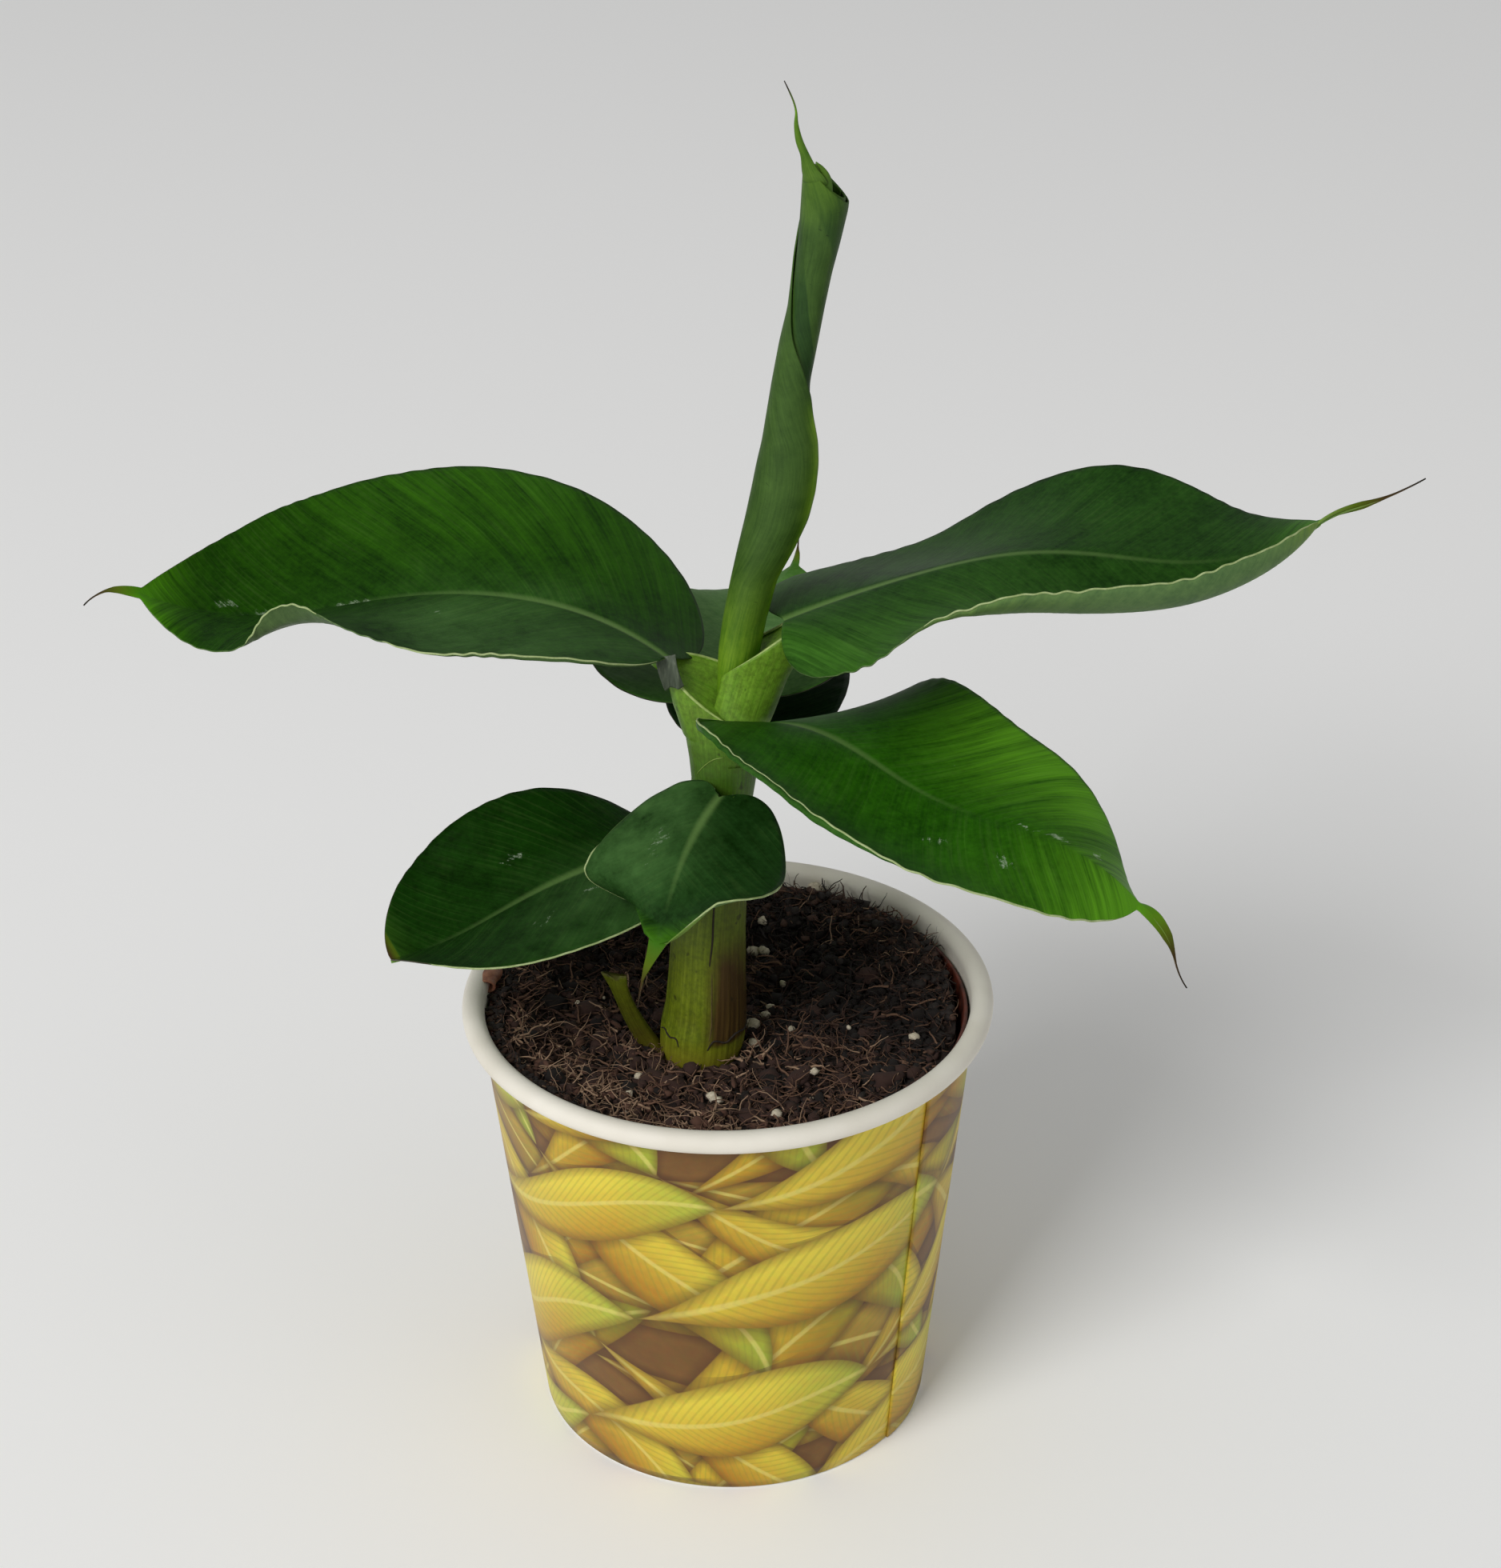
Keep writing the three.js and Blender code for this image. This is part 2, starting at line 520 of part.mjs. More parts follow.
// Colour and roughness of each piece
const SURFACES = {
  paper_pot: [0xcdb94a, 0.55], nursery_pot: [0x7d3a26, 0.6], soil: [0x3a2a21, 0.95],
  pseudostem: [0x7f8f38, 0.5], cut_stub: [0x6f8433, 0.6], leaf_rolled: [0x4d7038, 0.45],
  leaf_upper_left: [0x31571e, 0.4], leaf_upper_right: [0x35592c, 0.42],
  leaf_front_right: [0x31601e, 0.4], leaf_front_small: [0x345230, 0.45],
  leaf_lower_left: [0x2c4f25, 0.45], leaf_back_upper: [0x2b4a24, 0.45],
  leaf_back_lower: [0x16280f, 0.5],
};

const group = new THREE.Group();
for (const [name, body] of Object.entries(solids)) {
  const mesh = body.getMesh();
  const geometry = new THREE.BufferGeometry();
  geometry.setAttribute('position', new THREE.BufferAttribute(Float32Array.from(mesh.vertProperties), 3));
  geometry.setIndex(Array.from(mesh.triVerts));
  geometry.computeVertexNormals();
  const [color, roughness] = SURFACES[name];
  const node = new THREE.Mesh(geometry, new THREE.MeshStandardMaterial({ color, roughness, metalness: 0 }));
  node.name = name;
  group.add(node);
}

export default group;
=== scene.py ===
# %% [markdown]
# # A young banana plant in a printed paper pot
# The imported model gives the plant's solids: pot, soil, stem, one rolled leaf and seven open
# leaves. They are right in size and place, but plain. This lesson dresses each of them: thin
# blades with side veins, stalks with a channel, a ribbed stem, loose coir soil, and a paper pot
# with a rolled rim. Every piece is a mesh in metres whose place is in its vertices, so that it
# lies exactly where its solid lies.

# %% Load the frame
import math
import random

import bmesh
import bpy
import numpy as np
from mathutils import Matrix, Vector, noise


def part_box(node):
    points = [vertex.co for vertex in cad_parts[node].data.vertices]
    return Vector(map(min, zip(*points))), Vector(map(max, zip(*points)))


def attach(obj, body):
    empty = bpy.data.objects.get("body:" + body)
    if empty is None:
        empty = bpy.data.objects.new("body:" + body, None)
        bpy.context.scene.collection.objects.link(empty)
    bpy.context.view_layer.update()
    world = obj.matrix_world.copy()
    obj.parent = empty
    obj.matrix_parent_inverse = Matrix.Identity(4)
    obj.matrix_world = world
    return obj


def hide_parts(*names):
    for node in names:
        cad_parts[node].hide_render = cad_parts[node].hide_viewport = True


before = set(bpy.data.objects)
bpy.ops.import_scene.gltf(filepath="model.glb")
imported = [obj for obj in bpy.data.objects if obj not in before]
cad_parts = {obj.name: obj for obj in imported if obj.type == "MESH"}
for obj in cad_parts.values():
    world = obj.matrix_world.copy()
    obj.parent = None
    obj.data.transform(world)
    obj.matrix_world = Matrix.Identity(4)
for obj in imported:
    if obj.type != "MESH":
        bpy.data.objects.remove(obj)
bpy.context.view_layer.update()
MM = 0.001
print("nodes:", sorted(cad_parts))

# %% [markdown]
# ## The camera
# The photograph looks down on the pot by about 29 degrees from close by. The view was matched to
# the rim and the foot of the pot, so these are plain measured numbers: where the camera aims, how
# far it stands, how it tips and rolls. A lens length in pixels becomes millimetres by the size of
# the sensor's long side.

# %% Camera
IMAGE_LONG_SIDE = 1960
FOCAL_PIXELS = 4000
SENSOR = 36.0
CAMERA_DISTANCE = 767.9
CAMERA_ELEVATION = math.radians(28.56)
CAMERA_ROLL = math.radians(-0.85)
CAMERA_AIM = Vector((6.45, 0, 175.2))

away = Vector((0, -math.cos(CAMERA_ELEVATION), math.sin(CAMERA_ELEVATION)))
right = Vector((1, 0, 0))
up = away.cross(right)
turned_right = right * math.cos(CAMERA_ROLL) + up * math.sin(CAMERA_ROLL)
turned_up = up * math.cos(CAMERA_ROLL) - right * math.sin(CAMERA_ROLL)
camera = bpy.data.objects.new("camera", bpy.data.cameras.new("camera"))
camera.data.sensor_fit = "AUTO"
camera.data.sensor_width = SENSOR
camera.data.lens = FOCAL_PIXELS / IMAGE_LONG_SIDE * SENSOR
camera.data.clip_start = 0.01
camera.matrix_world = Matrix((turned_right, turned_up, away)).transposed().to_4x4()
camera.location = (CAMERA_AIM + away * CAMERA_DISTANCE) * MM
bpy.context.scene.collection.objects.link(camera)
bpy.context.scene.camera = camera
print("lens %.2f mm" % camera.data.lens)

# %% [markdown]
# ## Colours and nodes
# Colours are written as sRGB hex values, as a paint shop would. Shaders work in linear light, so
# one function turns them. A second one adds a shader node and fills its sockets; a node given as
# a value stands for its first live output. A colour ramp is the same call with its stops, and a
# colour mix is an ordinary node, whose sockets 0, 6 and 7 are the factor and the two colours.


# %% Helpers for materials
def colour(hex_value):
    parts = [int(hex_value[i:i + 2], 16) / 255 for i in (1, 3, 5)]
    return tuple(c / 12.92 if c <= 0.04045 else ((c + 0.055) / 1.055) ** 2.4 for c in parts) + (1,)


def fill(tree, node, inputs):
    """Each socket gets a number, a hex colour, another node's socket, or a node's first live output."""
    for key, value in inputs.items():
        if isinstance(value, bpy.types.Node):
            value = next(output for output in value.outputs if output.enabled)
        if isinstance(value, bpy.types.NodeSocket):
            tree.links.new(value, node.inputs[key])
        else:
            node.inputs[key].default_value = colour(value) if isinstance(value, str) else value


def add(tree, kind, inputs=None, stops=None, **settings):
    node = tree.nodes.new("ShaderNode" + kind)
    for name, value in settings.items():
        setattr(node, name, value)
    fill(tree, node, inputs or {})
    if stops:
        ramp = node.color_ramp.elements
        while len(ramp) < len(stops):
            ramp.new(0.5)
        for element, (place, tint) in zip(ramp, stops):
            element.position = place
            element.color = colour(tint)
    return node


def wash(tree, below, tint, pattern, low, high, most=1.0):
    """A colour laid over another, from nothing where the pattern is low to a share where it is high."""
    share = add(tree, "MapRange", {"Value": pattern, "From Min": low, "From Max": high, "To Max": most})
    return add(tree, "Mix", {0: share, 6: below, 7: tint}, data_type="RGBA")


def new_material(name):
    material = bpy.data.materials.new(name)
    material.use_nodes = True
    tree = material.node_tree
    tree.nodes.clear()
    skin = add(tree, "BsdfPrincipled")
    add(tree, "OutputMaterial", {"Surface": skin})
    return material, tree, skin


def plain_material(name, tint, roughness):
    material, tree, skin = new_material(name)
    fill(tree, skin, {"Base Color": tint, "Roughness": roughness})
    return material


def mottled_material(name, dark, light, size_mm, roughness):
    """A small part's finish: two tones mixed by fine noise, which also roughens it."""
    material, tree, skin = new_material(name)
    where = add(tree, "TexCoord").outputs["Object"]
    fleck = add(tree, "TexNoise", {"Vector": where, "Scale": 1000 / size_mm, "Detail": 4.0,
                                   "Roughness": 0.65})
    tone = add(tree, "ValToRGB", {"Fac": fleck}, stops=[(0.35, dark), (0.65, light)])
    bump = add(tree, "Bump", {"Height": fleck, "Strength": 0.3, "Distance": 0.0003})
    fill(tree, skin, {"Base Color": tone, "Normal": bump, "Roughness": roughness})
    return material


print("dark leaf green in linear light:", [round(c, 3) for c in colour("#2f5a1d")])

# %% [markdown]
# ## Curves, sheets and tubes
# A leaf is a curve that carries a sheet. Values given at equal steps along the leaf, such as its
# pitch, are joined by a smooth curve. Each sheet starts as a flat grid from the grid operator;
# its two coordinates are then carried to a place on the plant. A tube is the same grid rolled up,
# with its edges merged. Patterns that follow a surface need its own coordinates, so each sheet
# also gets an attribute in millimetres for its material.


# %% Helpers for shapes
def smooth(values, s):
    values = np.asarray(values, float)
    first = 2 * values[0] - values[1]
    last = 2 * values[-1] - values[-2]
    padded = np.concatenate([[first], values, [last]])
    x = np.clip(s, 0, 1) * (len(values) - 1)
    i = np.minimum(x.astype(int), len(values) - 2)
    t = x - i
    if values.ndim > 1:
        t = t[:, None]
    a, b, c, d = (padded[i + k] for k in range(4))
    return 0.5 * (2 * b + (c - a) * t + (2 * a - 5 * b + 4 * c - d) * t**2 + (3 * b - a - 3 * c + d) * t**3)


def smooth_at(table, z):
    """The second column of a table at heights z, on a gently rounded line through its rows."""
    steps = np.linspace(table[0, 0], table[-1, 0], 400)
    values = np.interp(steps, table[:, 0], table[:, 1])
    window = np.hanning(17) / np.hanning(17).sum()
    soft = np.convolve(np.pad(values, 8, mode="edge"), window, "valid")
    return np.interp(z, steps, soft)


def unit(rows):
    return rows / np.maximum(np.linalg.norm(rows, axis=1), 1e-12)[:, None]


def stand(name, mesh):
    """A smooth-shaded object of the mesh, linked to the scene."""
    mesh.shade_smooth()
    piece = bpy.data.objects.new(name, mesh)
    bpy.context.scene.collection.objects.link(piece)
    return piece


def round_marks(s, f):
    return np.stack([s, f, f, s], 1)


def sheet(name, along, across, place, rolled=False, capped=False, turned=False):
    """A grid carried to its place: s runs from 0 to 1 along it and v from -1 to 1 across.
    Its face looks to the right-hand side of the two; turned makes it look the other way."""
    bm = bmesh.new()
    bmesh.ops.create_grid(bm, x_segments=along, y_segments=across, size=0.5)
    flat = np.array([vert.co for vert in bm.verts])
    points, marks = place(flat[:, 0] + 0.5, flat[:, 1] * 2)
    mesh = bpy.data.meshes.new(name)
    bm.to_mesh(mesh)
    bm.free()
    mesh.vertices.foreach_set("co", (points * MM).astype(np.float32).ravel())
    corner = np.zeros(len(mesh.loops), int)
    mesh.loops.foreach_get("vertex_index", corner)
    layer = mesh.uv_layers.new(name="surface")
    layer.uv.foreach_set("vector", marks[corner, :2].astype(np.float32).ravel())
    for index, label in enumerate(("along", "across", "edge", "tint", "dust", "bloom_and_sheen")):
        if index < marks.shape[1]:
            spot = mesh.attributes.new(label, "FLOAT", "POINT")
            spot.data.foreach_set("value", marks[:, index].astype(np.float32))
    if rolled:
        bm = bmesh.new()
        bm.from_mesh(mesh)
        bmesh.ops.remove_doubles(bm, verts=bm.verts, dist=0.002 * MM)
        if capped:
            bmesh.ops.holes_fill(bm, edges=bm.edges, sides=4 * across)
        bmesh.ops.recalc_face_normals(bm, faces=bm.faces)
        bm.to_mesh(mesh)
        bm.free()
    if turned:
        mesh.flip_normals()
    return stand(name, mesh)


def keep(piece, slot, nodes, *materials):
    """The piece rides with the plant, stands for those nodes and takes the materials."""
    for material in materials:
        piece.data.materials.append(material)
    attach(piece, "root")
    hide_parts(*nodes)
    return piece


def tube(name, line, sides, reach, marks):
    """A closed tube round a line of centres with side and up vectors; reach(s, f) gives its section."""
    centres, side, upward = (np.asarray(rows) for rows in line)

    def place(s, v):
        f = np.pi * v
        across, above = reach(s, f)
        middle, sideways, height = (smooth(rows, s) for rows in (centres, side, upward))
        points = middle + unit(sideways) * across[:, None] + unit(height) * above[:, None]
        return points, marks(s, f)

    return sheet(name, max(2 * len(centres), 8), sides, place, rolled=True, capped=True)


print("shape helpers ready")

# %% [markdown]
# ## The paper pot: its shape
# The pot is rolled paperboard: a tapered wall that laps over itself in one upright seam, with the
# top edge curled outwards into a tight roll. A spin of the wall's profile would hide the seam, so
# the wall is a sheet wound a little more than once round, its last stretch standing one paper
# thickness proud. The rim is a profile spun round the axis.

# %% Pot sizes from the frame
POT_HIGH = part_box("paper_pot")[1] / MM
POT_HEIGHT = POT_HIGH.z
RIM_OUTER = POT_HIGH.x
ROLL_RADIUS = 2.75
POT_FOOT = 49.9
POT_SHOULDER = 61.5
PAPER = 1.2
WALL_TOP = POT_HEIGHT - 2 * ROLL_RADIUS
SEAM_AZIMUTH = math.radians(-27)
LAP_WIDTH = 13.0
LAP_STEP = 0.5
LAP_START = 0.9           # share of the lap's width by which its rise starts early
WALL_FOOT = 0.5
WALL_INTO_ROLL = 1.2
WALL_INSET = 0.05
WALL_THICK = 0.42


def wall_radius(z):
    return POT_FOOT + (POT_SHOULDER - POT_FOOT) * z / WALL_TOP


print("pot %.0f mm high, %.0f mm across its rim" % (POT_HEIGHT, 2 * RIM_OUTER))


# %% Paper wall
def wall_place(s, v):
    turn = s * (2 * math.pi + LAP_WIDTH / POT_SHOULDER)
    azimuth = SEAM_AZIMUTH - turn
    past = np.clip((turn - 2 * math.pi) * POT_SHOULDER / LAP_WIDTH + LAP_START, 0, 1)
    z = WALL_FOOT + (v + 1) / 2 * (WALL_TOP + WALL_INTO_ROLL)
    radius = wall_radius(z) - WALL_INSET + LAP_STEP * past * (3 * past - 2 * past**2)
    points = np.stack([radius * np.cos(azimuth), radius * np.sin(azimuth), z], 1)
    marks = np.stack([turn * POT_SHOULDER, z, past, z / WALL_TOP], 1)
    return points, marks


pot_wall = sheet("pot_wall", 300, 44, wall_place, turned=True)
board = pot_wall.modifiers.new("paperboard", "SOLIDIFY")
board.thickness = WALL_THICK * MM
board.offset = -1
board.use_even_offset = False
board.material_offset = 1
board.material_offset_rim = 0
print("wall faces:", len(pot_wall.data.polygons))


# %% Rolled rim, inner wall and base by spinning profiles
def spun(name, profile, steps):
    bm = bmesh.new()
    verts = [bm.verts.new((r * MM, 0, z * MM)) for r, z in profile]
    edges = [bm.edges.new(pair) for pair in zip(verts, verts[1:])]
    bmesh.ops.spin(bm, geom=verts + edges, cent=(0, 0, 0), axis=(0, 0, 1), angle=2 * math.pi,
                   steps=steps, use_merge=True)
    bmesh.ops.remove_doubles(bm, verts=bm.verts, dist=0.001 * MM)
    bmesh.ops.recalc_face_normals(bm, faces=bm.faces)
    mesh = bpy.data.meshes.new(name)
    bm.to_mesh(mesh)
    bm.free()
    return stand(name, mesh)


def arc(centre, radius, start, stop, count):
    angles = [math.radians(start + (stop - start) * k / count) for k in range(count + 1)]
    return [(centre[0] + radius * math.cos(a), centre[1] + radius * math.sin(a)) for a in angles]


ROLL_CENTRE = (RIM_OUTER - ROLL_RADIUS, POT_HEIGHT - ROLL_RADIUS)
ROLL_THICK = 0.5
ROLL_FOOT = 113.6
RIM_FOOT, RIM_BEND = 85, 105          # heights where the rim's wall starts and where it bends
inner_top = ROLL_CENTRE[0] - ROLL_RADIUS
rim_profile = [(wall_radius(z) - PAPER, z) for z in (RIM_FOOT, RIM_BEND)]
rim_profile += [(inner_top - 0.12, 111.5), (inner_top, ROLL_FOOT)]
rim_profile += arc(ROLL_CENTRE, ROLL_RADIUS, 180, -150, 26)
rim_profile += arc(ROLL_CENTRE, ROLL_RADIUS - ROLL_THICK, -150, 180, 26)
rim_profile.append((inner_top + 0.4, ROLL_FOOT))
rim_profile += [(wall_radius(z) - PAPER + ROLL_THICK, z) for z in (RIM_BEND, RIM_FOOT)]
rim_profile.append(rim_profile[0])
pot_rim = spun("pot_rim", rim_profile, 200)

BASE_THICK = 2.2
inner_profile = [(wall_radius(z) - PAPER, z) for z in (RIM_FOOT + 1, 60, BASE_THICK)]
inner_profile += [(0, BASE_THICK), (0, 0), (POT_FOOT - 3.6, 0)]
inner_profile += [(POT_FOOT - 3.2, 0.45), (POT_FOOT - 2.6, 0.45)]
inner_profile += [(POT_FOOT - 2.2, 0), (POT_FOOT - 0.5, 0), (POT_FOOT - 0.1, 0.5)]
inner_profile += [(wall_radius(z) - 0.55, z) for z in (60, RIM_FOOT + 1)]
inner_profile.append(inner_profile[0])
pot_inner = spun("pot_inner", inner_profile, 160)
print("rim faces:", len(pot_rim.data.polygons))

# %% [markdown]
# ## The paper pot: its finish
# Real cups are bleached board with a thin varnish over an offset print. The varnish gives a soft
# satin sheen, and the bare roll is matt off-white with faint fibres. The print here is a pattern
# of overlapping pointed leaves in yellow, ochre and lime on warm brown, in four layers laid one
# over the other. Each layer is a lattice: the place on the wall is turned, cut into cells, and
# inside each cell a leaf is where the distance from its midrib is less than its width.

# %% Bare paperboard
# Unvarnished board: matt, warm white, with faint clouds and a fine tooth
PAPER_GRAIN_MM = 0.9
paper_white, tree, skin = new_material("bleached paperboard, matt")
where = add(tree, "TexCoord").outputs["Object"]
grain = add(tree, "TexNoise", {"Vector": where, "Scale": 1000 / PAPER_GRAIN_MM, "Detail": 4.0})
cloud = add(tree, "TexNoise", {"Vector": where, "Scale": 60.0, "Detail": 2.0})
tone = add(tree, "ValToRGB", {"Fac": cloud}, stops=[(0.3, "#dcd6c8"), (0.7, "#e9e4d8")])
bump = add(tree, "Bump", {"Height": grain, "Strength": 0.12, "Distance": 0.0004})
fill(tree, skin, {"Base Color": tone, "Normal": bump, "Roughness": 0.62})
print("paper:", paper_white.name)

# %% Printed wall
PRINT_LAYERS = [
    # cell length, cell width, turn in degrees, shift, warm side, light side, tip colour
    (80.0, 24.0, -14.0, 0.7, "#8c6422", "#b09030", "#8c7c28"),
    (88.0, 27.0, 34.0, 0.2, "#a6761c", "#c8a92c", "#8c9626"),
    (92.0, 31.0, -40.0, 0.55, "#b0801e", "#d6be3a", "#95a832"),
    (98.0, 34.0, 14.0, 0.8, "#bd9426", "#dfcb42", "#a8b43c"),
]


def print_layer(tree, place, below, layer):
    """Leaves of one lattice over the colour below: each has a midrib, a light half and a tip."""
    length, width, turn, shift, warm, light, tip = layer
    turned = add(tree, "VectorRotate", {"Vector": place, "Angle": math.radians(turn)}, rotation_type="Z_AXIS")
    parts = add(tree, "SeparateXYZ", {"Vector": turned})
    row = add(tree, "Math", {0: parts.outputs["Y"], 1: width}, operation="DIVIDE")
    row = add(tree, "Math", {0: row, 1: shift}, operation="ADD")
    number = add(tree, "Math", {0: row}, operation="FLOOR")
    slide = add(tree, "Math", {0: number, 1: 0.37}, operation="MULTIPLY")
    column = add(tree, "Math", {0: parts.outputs["X"], 1: 1 / length, 2: slide},
                 operation="MULTIPLY_ADD")
    x = add(tree, "Math", {0: column}, operation="FRACT")
    y = add(tree, "Math", {0: row}, operation="FRACT")
    # A leaf bends a little, and is widest before its middle
    swell = add(tree, "Math", {0: x, 1: 0.72}, operation="POWER")
    swell = add(tree, "Math", {0: swell, 1: math.pi}, operation="MULTIPLY")
    swell = add(tree, "Math", {0: swell}, operation="SINE")
    swell = add(tree, "Math", {0: swell, 1: 1.25}, operation="POWER")
    bend = add(tree, "Math", {0: swell, 1: 0.16, 2: 0.42}, operation="MULTIPLY_ADD")
    off = add(tree, "Math", {0: y, 1: bend}, operation="SUBTRACT")
    far = add(tree, "Math", {0: off}, operation="ABSOLUTE")
    edge = add(tree, "Math", {0: swell, 1: 0.4}, operation="MULTIPLY")
    inside = add(tree, "Math", {0: edge, 1: far}, operation="SUBTRACT")
    body = wash(tree, warm, light, off, -0.26, 0.2)
    body = wash(tree, body, tip, x, 0.34, 0.02)
    run = add(tree, "Math", {0: x, 1: length / 3.4}, operation="MULTIPLY")
    slope = add(tree, "Math", {0: far, 1: width / 2.6, 2: run}, operation="MULTIPLY_ADD")
    ridge = add(tree, "Math", {0: slope, 1: 2 * math.pi}, operation="MULTIPLY")
    ridge = add(tree, "Math", {0: ridge}, operation="SINE")
    body = wash(tree, body, "#8a8a2e", ridge, 0.2, 1.0, 0.3)
    body = wash(tree, body, "#e0d272", far, 0.03, 0.014, 0.55)
    body = wash(tree, body, "#6f4a1c", inside, 0.11, 0.0, 0.7)
    # The leaf above throws a soft shadow on what lies under it
    under = wash(tree, below, "#4f3018", inside, -0.1, 0.0, 0.55)
    return wash(tree, under, body, inside, 0.0, 0.012)


# Ink under a thin varnish: full colours with a soft, broad sheen
printed, tree, skin = new_material("varnished offset print on paperboard")
along, height = (add(tree, "Attribute", attribute_name=label).outputs["Fac"] for label in ("along", "across"))
place = add(tree, "CombineXYZ", {"X": along, "Y": height})
wobble = add(tree, "TexNoise", {"Vector": place, "Scale": 0.016, "Detail": 0.0})
drift = add(tree, "VectorMath", {0: wobble.outputs["Color"], "Scale": 30.0}, operation="SCALE")
place = add(tree, "VectorMath", {0: place, 1: drift})
ground = add(tree, "TexNoise", {"Vector": place, "Scale": 0.05, "Detail": 3.0})
ink = add(tree, "Mix", {0: ground, 6: "#5a3a1c", 7: "#8a6430"}, data_type="RGBA")
for layer in PRINT_LAYERS:
    ink = print_layer(tree, place, ink, layer)
mottle = add(tree, "TexNoise", {"Vector": place, "Scale": 0.5, "Detail": 5.0})
ink = add(tree, "Mix", {0: 0.16, 6: ink, 7: mottle.outputs["Color"]}, data_type="RGBA", blend_type="OVERLAY")
grain = add(tree, "TexNoise", {"Vector": place, "Scale": 1 / PAPER_GRAIN_MM, "Detail": 3.0})
bump = add(tree, "Bump", {"Height": grain, "Strength": 0.05, "Distance": 0.0003})
fill(tree, skin, {"Base Color": ink, "Normal": bump, "Roughness": 0.42, "Specular IOR Level": 0.25,
                  "Coat Weight": 0.1, "Coat Roughness": 0.25})
keep(pot_wall, "printed_paper", ["paper_pot"], printed, paper_white)
keep(pot_rim, "printed_paper", ["paper_pot"], paper_white)
keep(pot_inner, "printed_paper", ["paper_pot"], paper_white)
print("print layers:", len(PRINT_LAYERS))

# %% [markdown]
# ## The grower's pot
# Inside stands the thin red-brown pot the plant was raised in: vacuum-formed plastic with a small
# turned lip, dusty from the soil. One tab of its lip has curled over at the left.

# %% Grower's pot
LINER_LOW, LINER_HIGH = (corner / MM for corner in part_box("nursery_pot"))
liner_out = LINER_HIGH.x
liner_slope = (POT_SHOULDER - POT_FOOT) / WALL_TOP
foot_out = liner_out - (LINER_HIGH.z - LINER_LOW.z) * liner_slope
liner_profile = [(0, LINER_LOW.z), (foot_out - 0.8, LINER_LOW.z), (foot_out, LINER_LOW.z + 0.8)]
liner_profile += [(liner_out - 0.6, LINER_HIGH.z - 2.4), (liner_out, LINER_HIGH.z - 2.0)]
liner_profile += arc((liner_out - 0.5, LINER_HIGH.z - 0.5), 0.5, 0, 180, 6)
liner_profile += [(liner_out - 1.1, LINER_HIGH.z - 1.6), (liner_out - 1.35, LINER_HIGH.z - 3)]
liner_profile += [(foot_out - 1.3, LINER_LOW.z + 1.5), (0, LINER_LOW.z + 1.5)]
liner = spun("growers_pot", liner_profile, 128)

# Thin moulded plastic under soil dust: dull red-brown with paler clouds
plastic, tree, skin = new_material("thin polypropylene, terracotta")
where = add(tree, "TexCoord").outputs["Object"]
dust = add(tree, "TexNoise", {"Vector": where, "Scale": 220.0, "Detail": 6.0})
tone = add(tree, "ValToRGB", {"Fac": dust}, stops=[(0.35, "#3c1c13"), (0.6, "#6a2f1f")])
fill(tree, skin, {"Base Color": tone, "Roughness": 0.5, "IOR": 1.49})
keep(liner, "terracotta_plastic", ["nursery_pot"], plastic)

CURL_AZIMUTH = math.radians(171)
CURL_WIDE = 9.0
CURL_RADIUS = 2.5
CURL_RISE = 2.4


def curl_place(s, v):
    """A strip of the lip that has rolled inwards over itself."""
    angle = s * 1.55 * math.pi
    radius = CURL_RADIUS - s + 0.3 * np.sin(3 * v + 5 * s)
    inward = liner_out + 1 + radius * np.cos(angle)
    azimuth = CURL_AZIMUTH + v * CURL_WIDE / 2 / liner_out * (1 - 0.25 * s)
    z = LINER_HIGH.z + CURL_RISE + radius * np.sin(angle) * 0.8
    points = np.stack([inward * np.cos(azimuth), inward * np.sin(azimuth), z], 1)
    return points, np.stack([s, v, v, s], 1)


# The lip has been bent and scuffed, so it looks paler
lip_plastic = mottled_material("lip of the grower's pot, dusty", "#7a4a36", "#a87458", 2.0, 0.5)
curl = sheet("lip_curl", 36, 20, curl_place)
curl.modifiers.new("plastic", "SOLIDIFY").thickness = 0.5 * MM
keep(curl, "terracotta_plastic", ["nursery_pot"], lip_plastic)
print("liner %.1f mm across at its top" % (2 * liner_out))

# %% [markdown]
# ## Soil
# Potting soil of peat and coir is crumbs, thousands of brown fibres that stick up every way, and
# white grains of perlite. The bed is a disc whose vertices are lifted by noise. Crumbs and fibres
# are scattered by a seeded random draw and joined into a few meshes, dealt a few plain browns
# each, because that keeps the scene light and the colours where they belong.

# %% Soil bed
SOIL_LEVEL = 104.5
SOIL_RISE = 6
HEAP_AZIMUTH = math.radians(50)
BANK_RISE = 3.2
LEFT_AZIMUTH = math.radians(186)
LEFT_RISE = 6.0
RELIEF_RISE = 2.6
SKIRT_FOOT = 92
SOIL_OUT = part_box("soil")[1].x / MM
FIRST_SEED = 27
RELIEF_REACH = 64
RELIEF = np.array([[noise.fractal((x * 0.105, y * 0.105, 3.1), 0.8, 2.1, 5)
                    for x in range(-RELIEF_REACH, RELIEF_REACH + 1)]
                   for y in range(-RELIEF_REACH, RELIEF_REACH + 1)])


def relief_at(x, y):
    """Clods and hollows of the soil, about -1 to 1, read between the points of a 1 mm table."""
    last = RELIEF_REACH - 1
    a, b = np.clip(x, -last, last) + RELIEF_REACH, np.clip(y, -last, last) + RELIEF_REACH
    i, j = np.floor(a).astype(int), np.floor(b).astype(int)
    p, q = a - i, b - j
    low = RELIEF[j, i] * (1 - p) + RELIEF[j, i + 1] * p
    high = RELIEF[j + 1, i] * (1 - p) + RELIEF[j + 1, i + 1] * p
    return low * (1 - q) + high * q


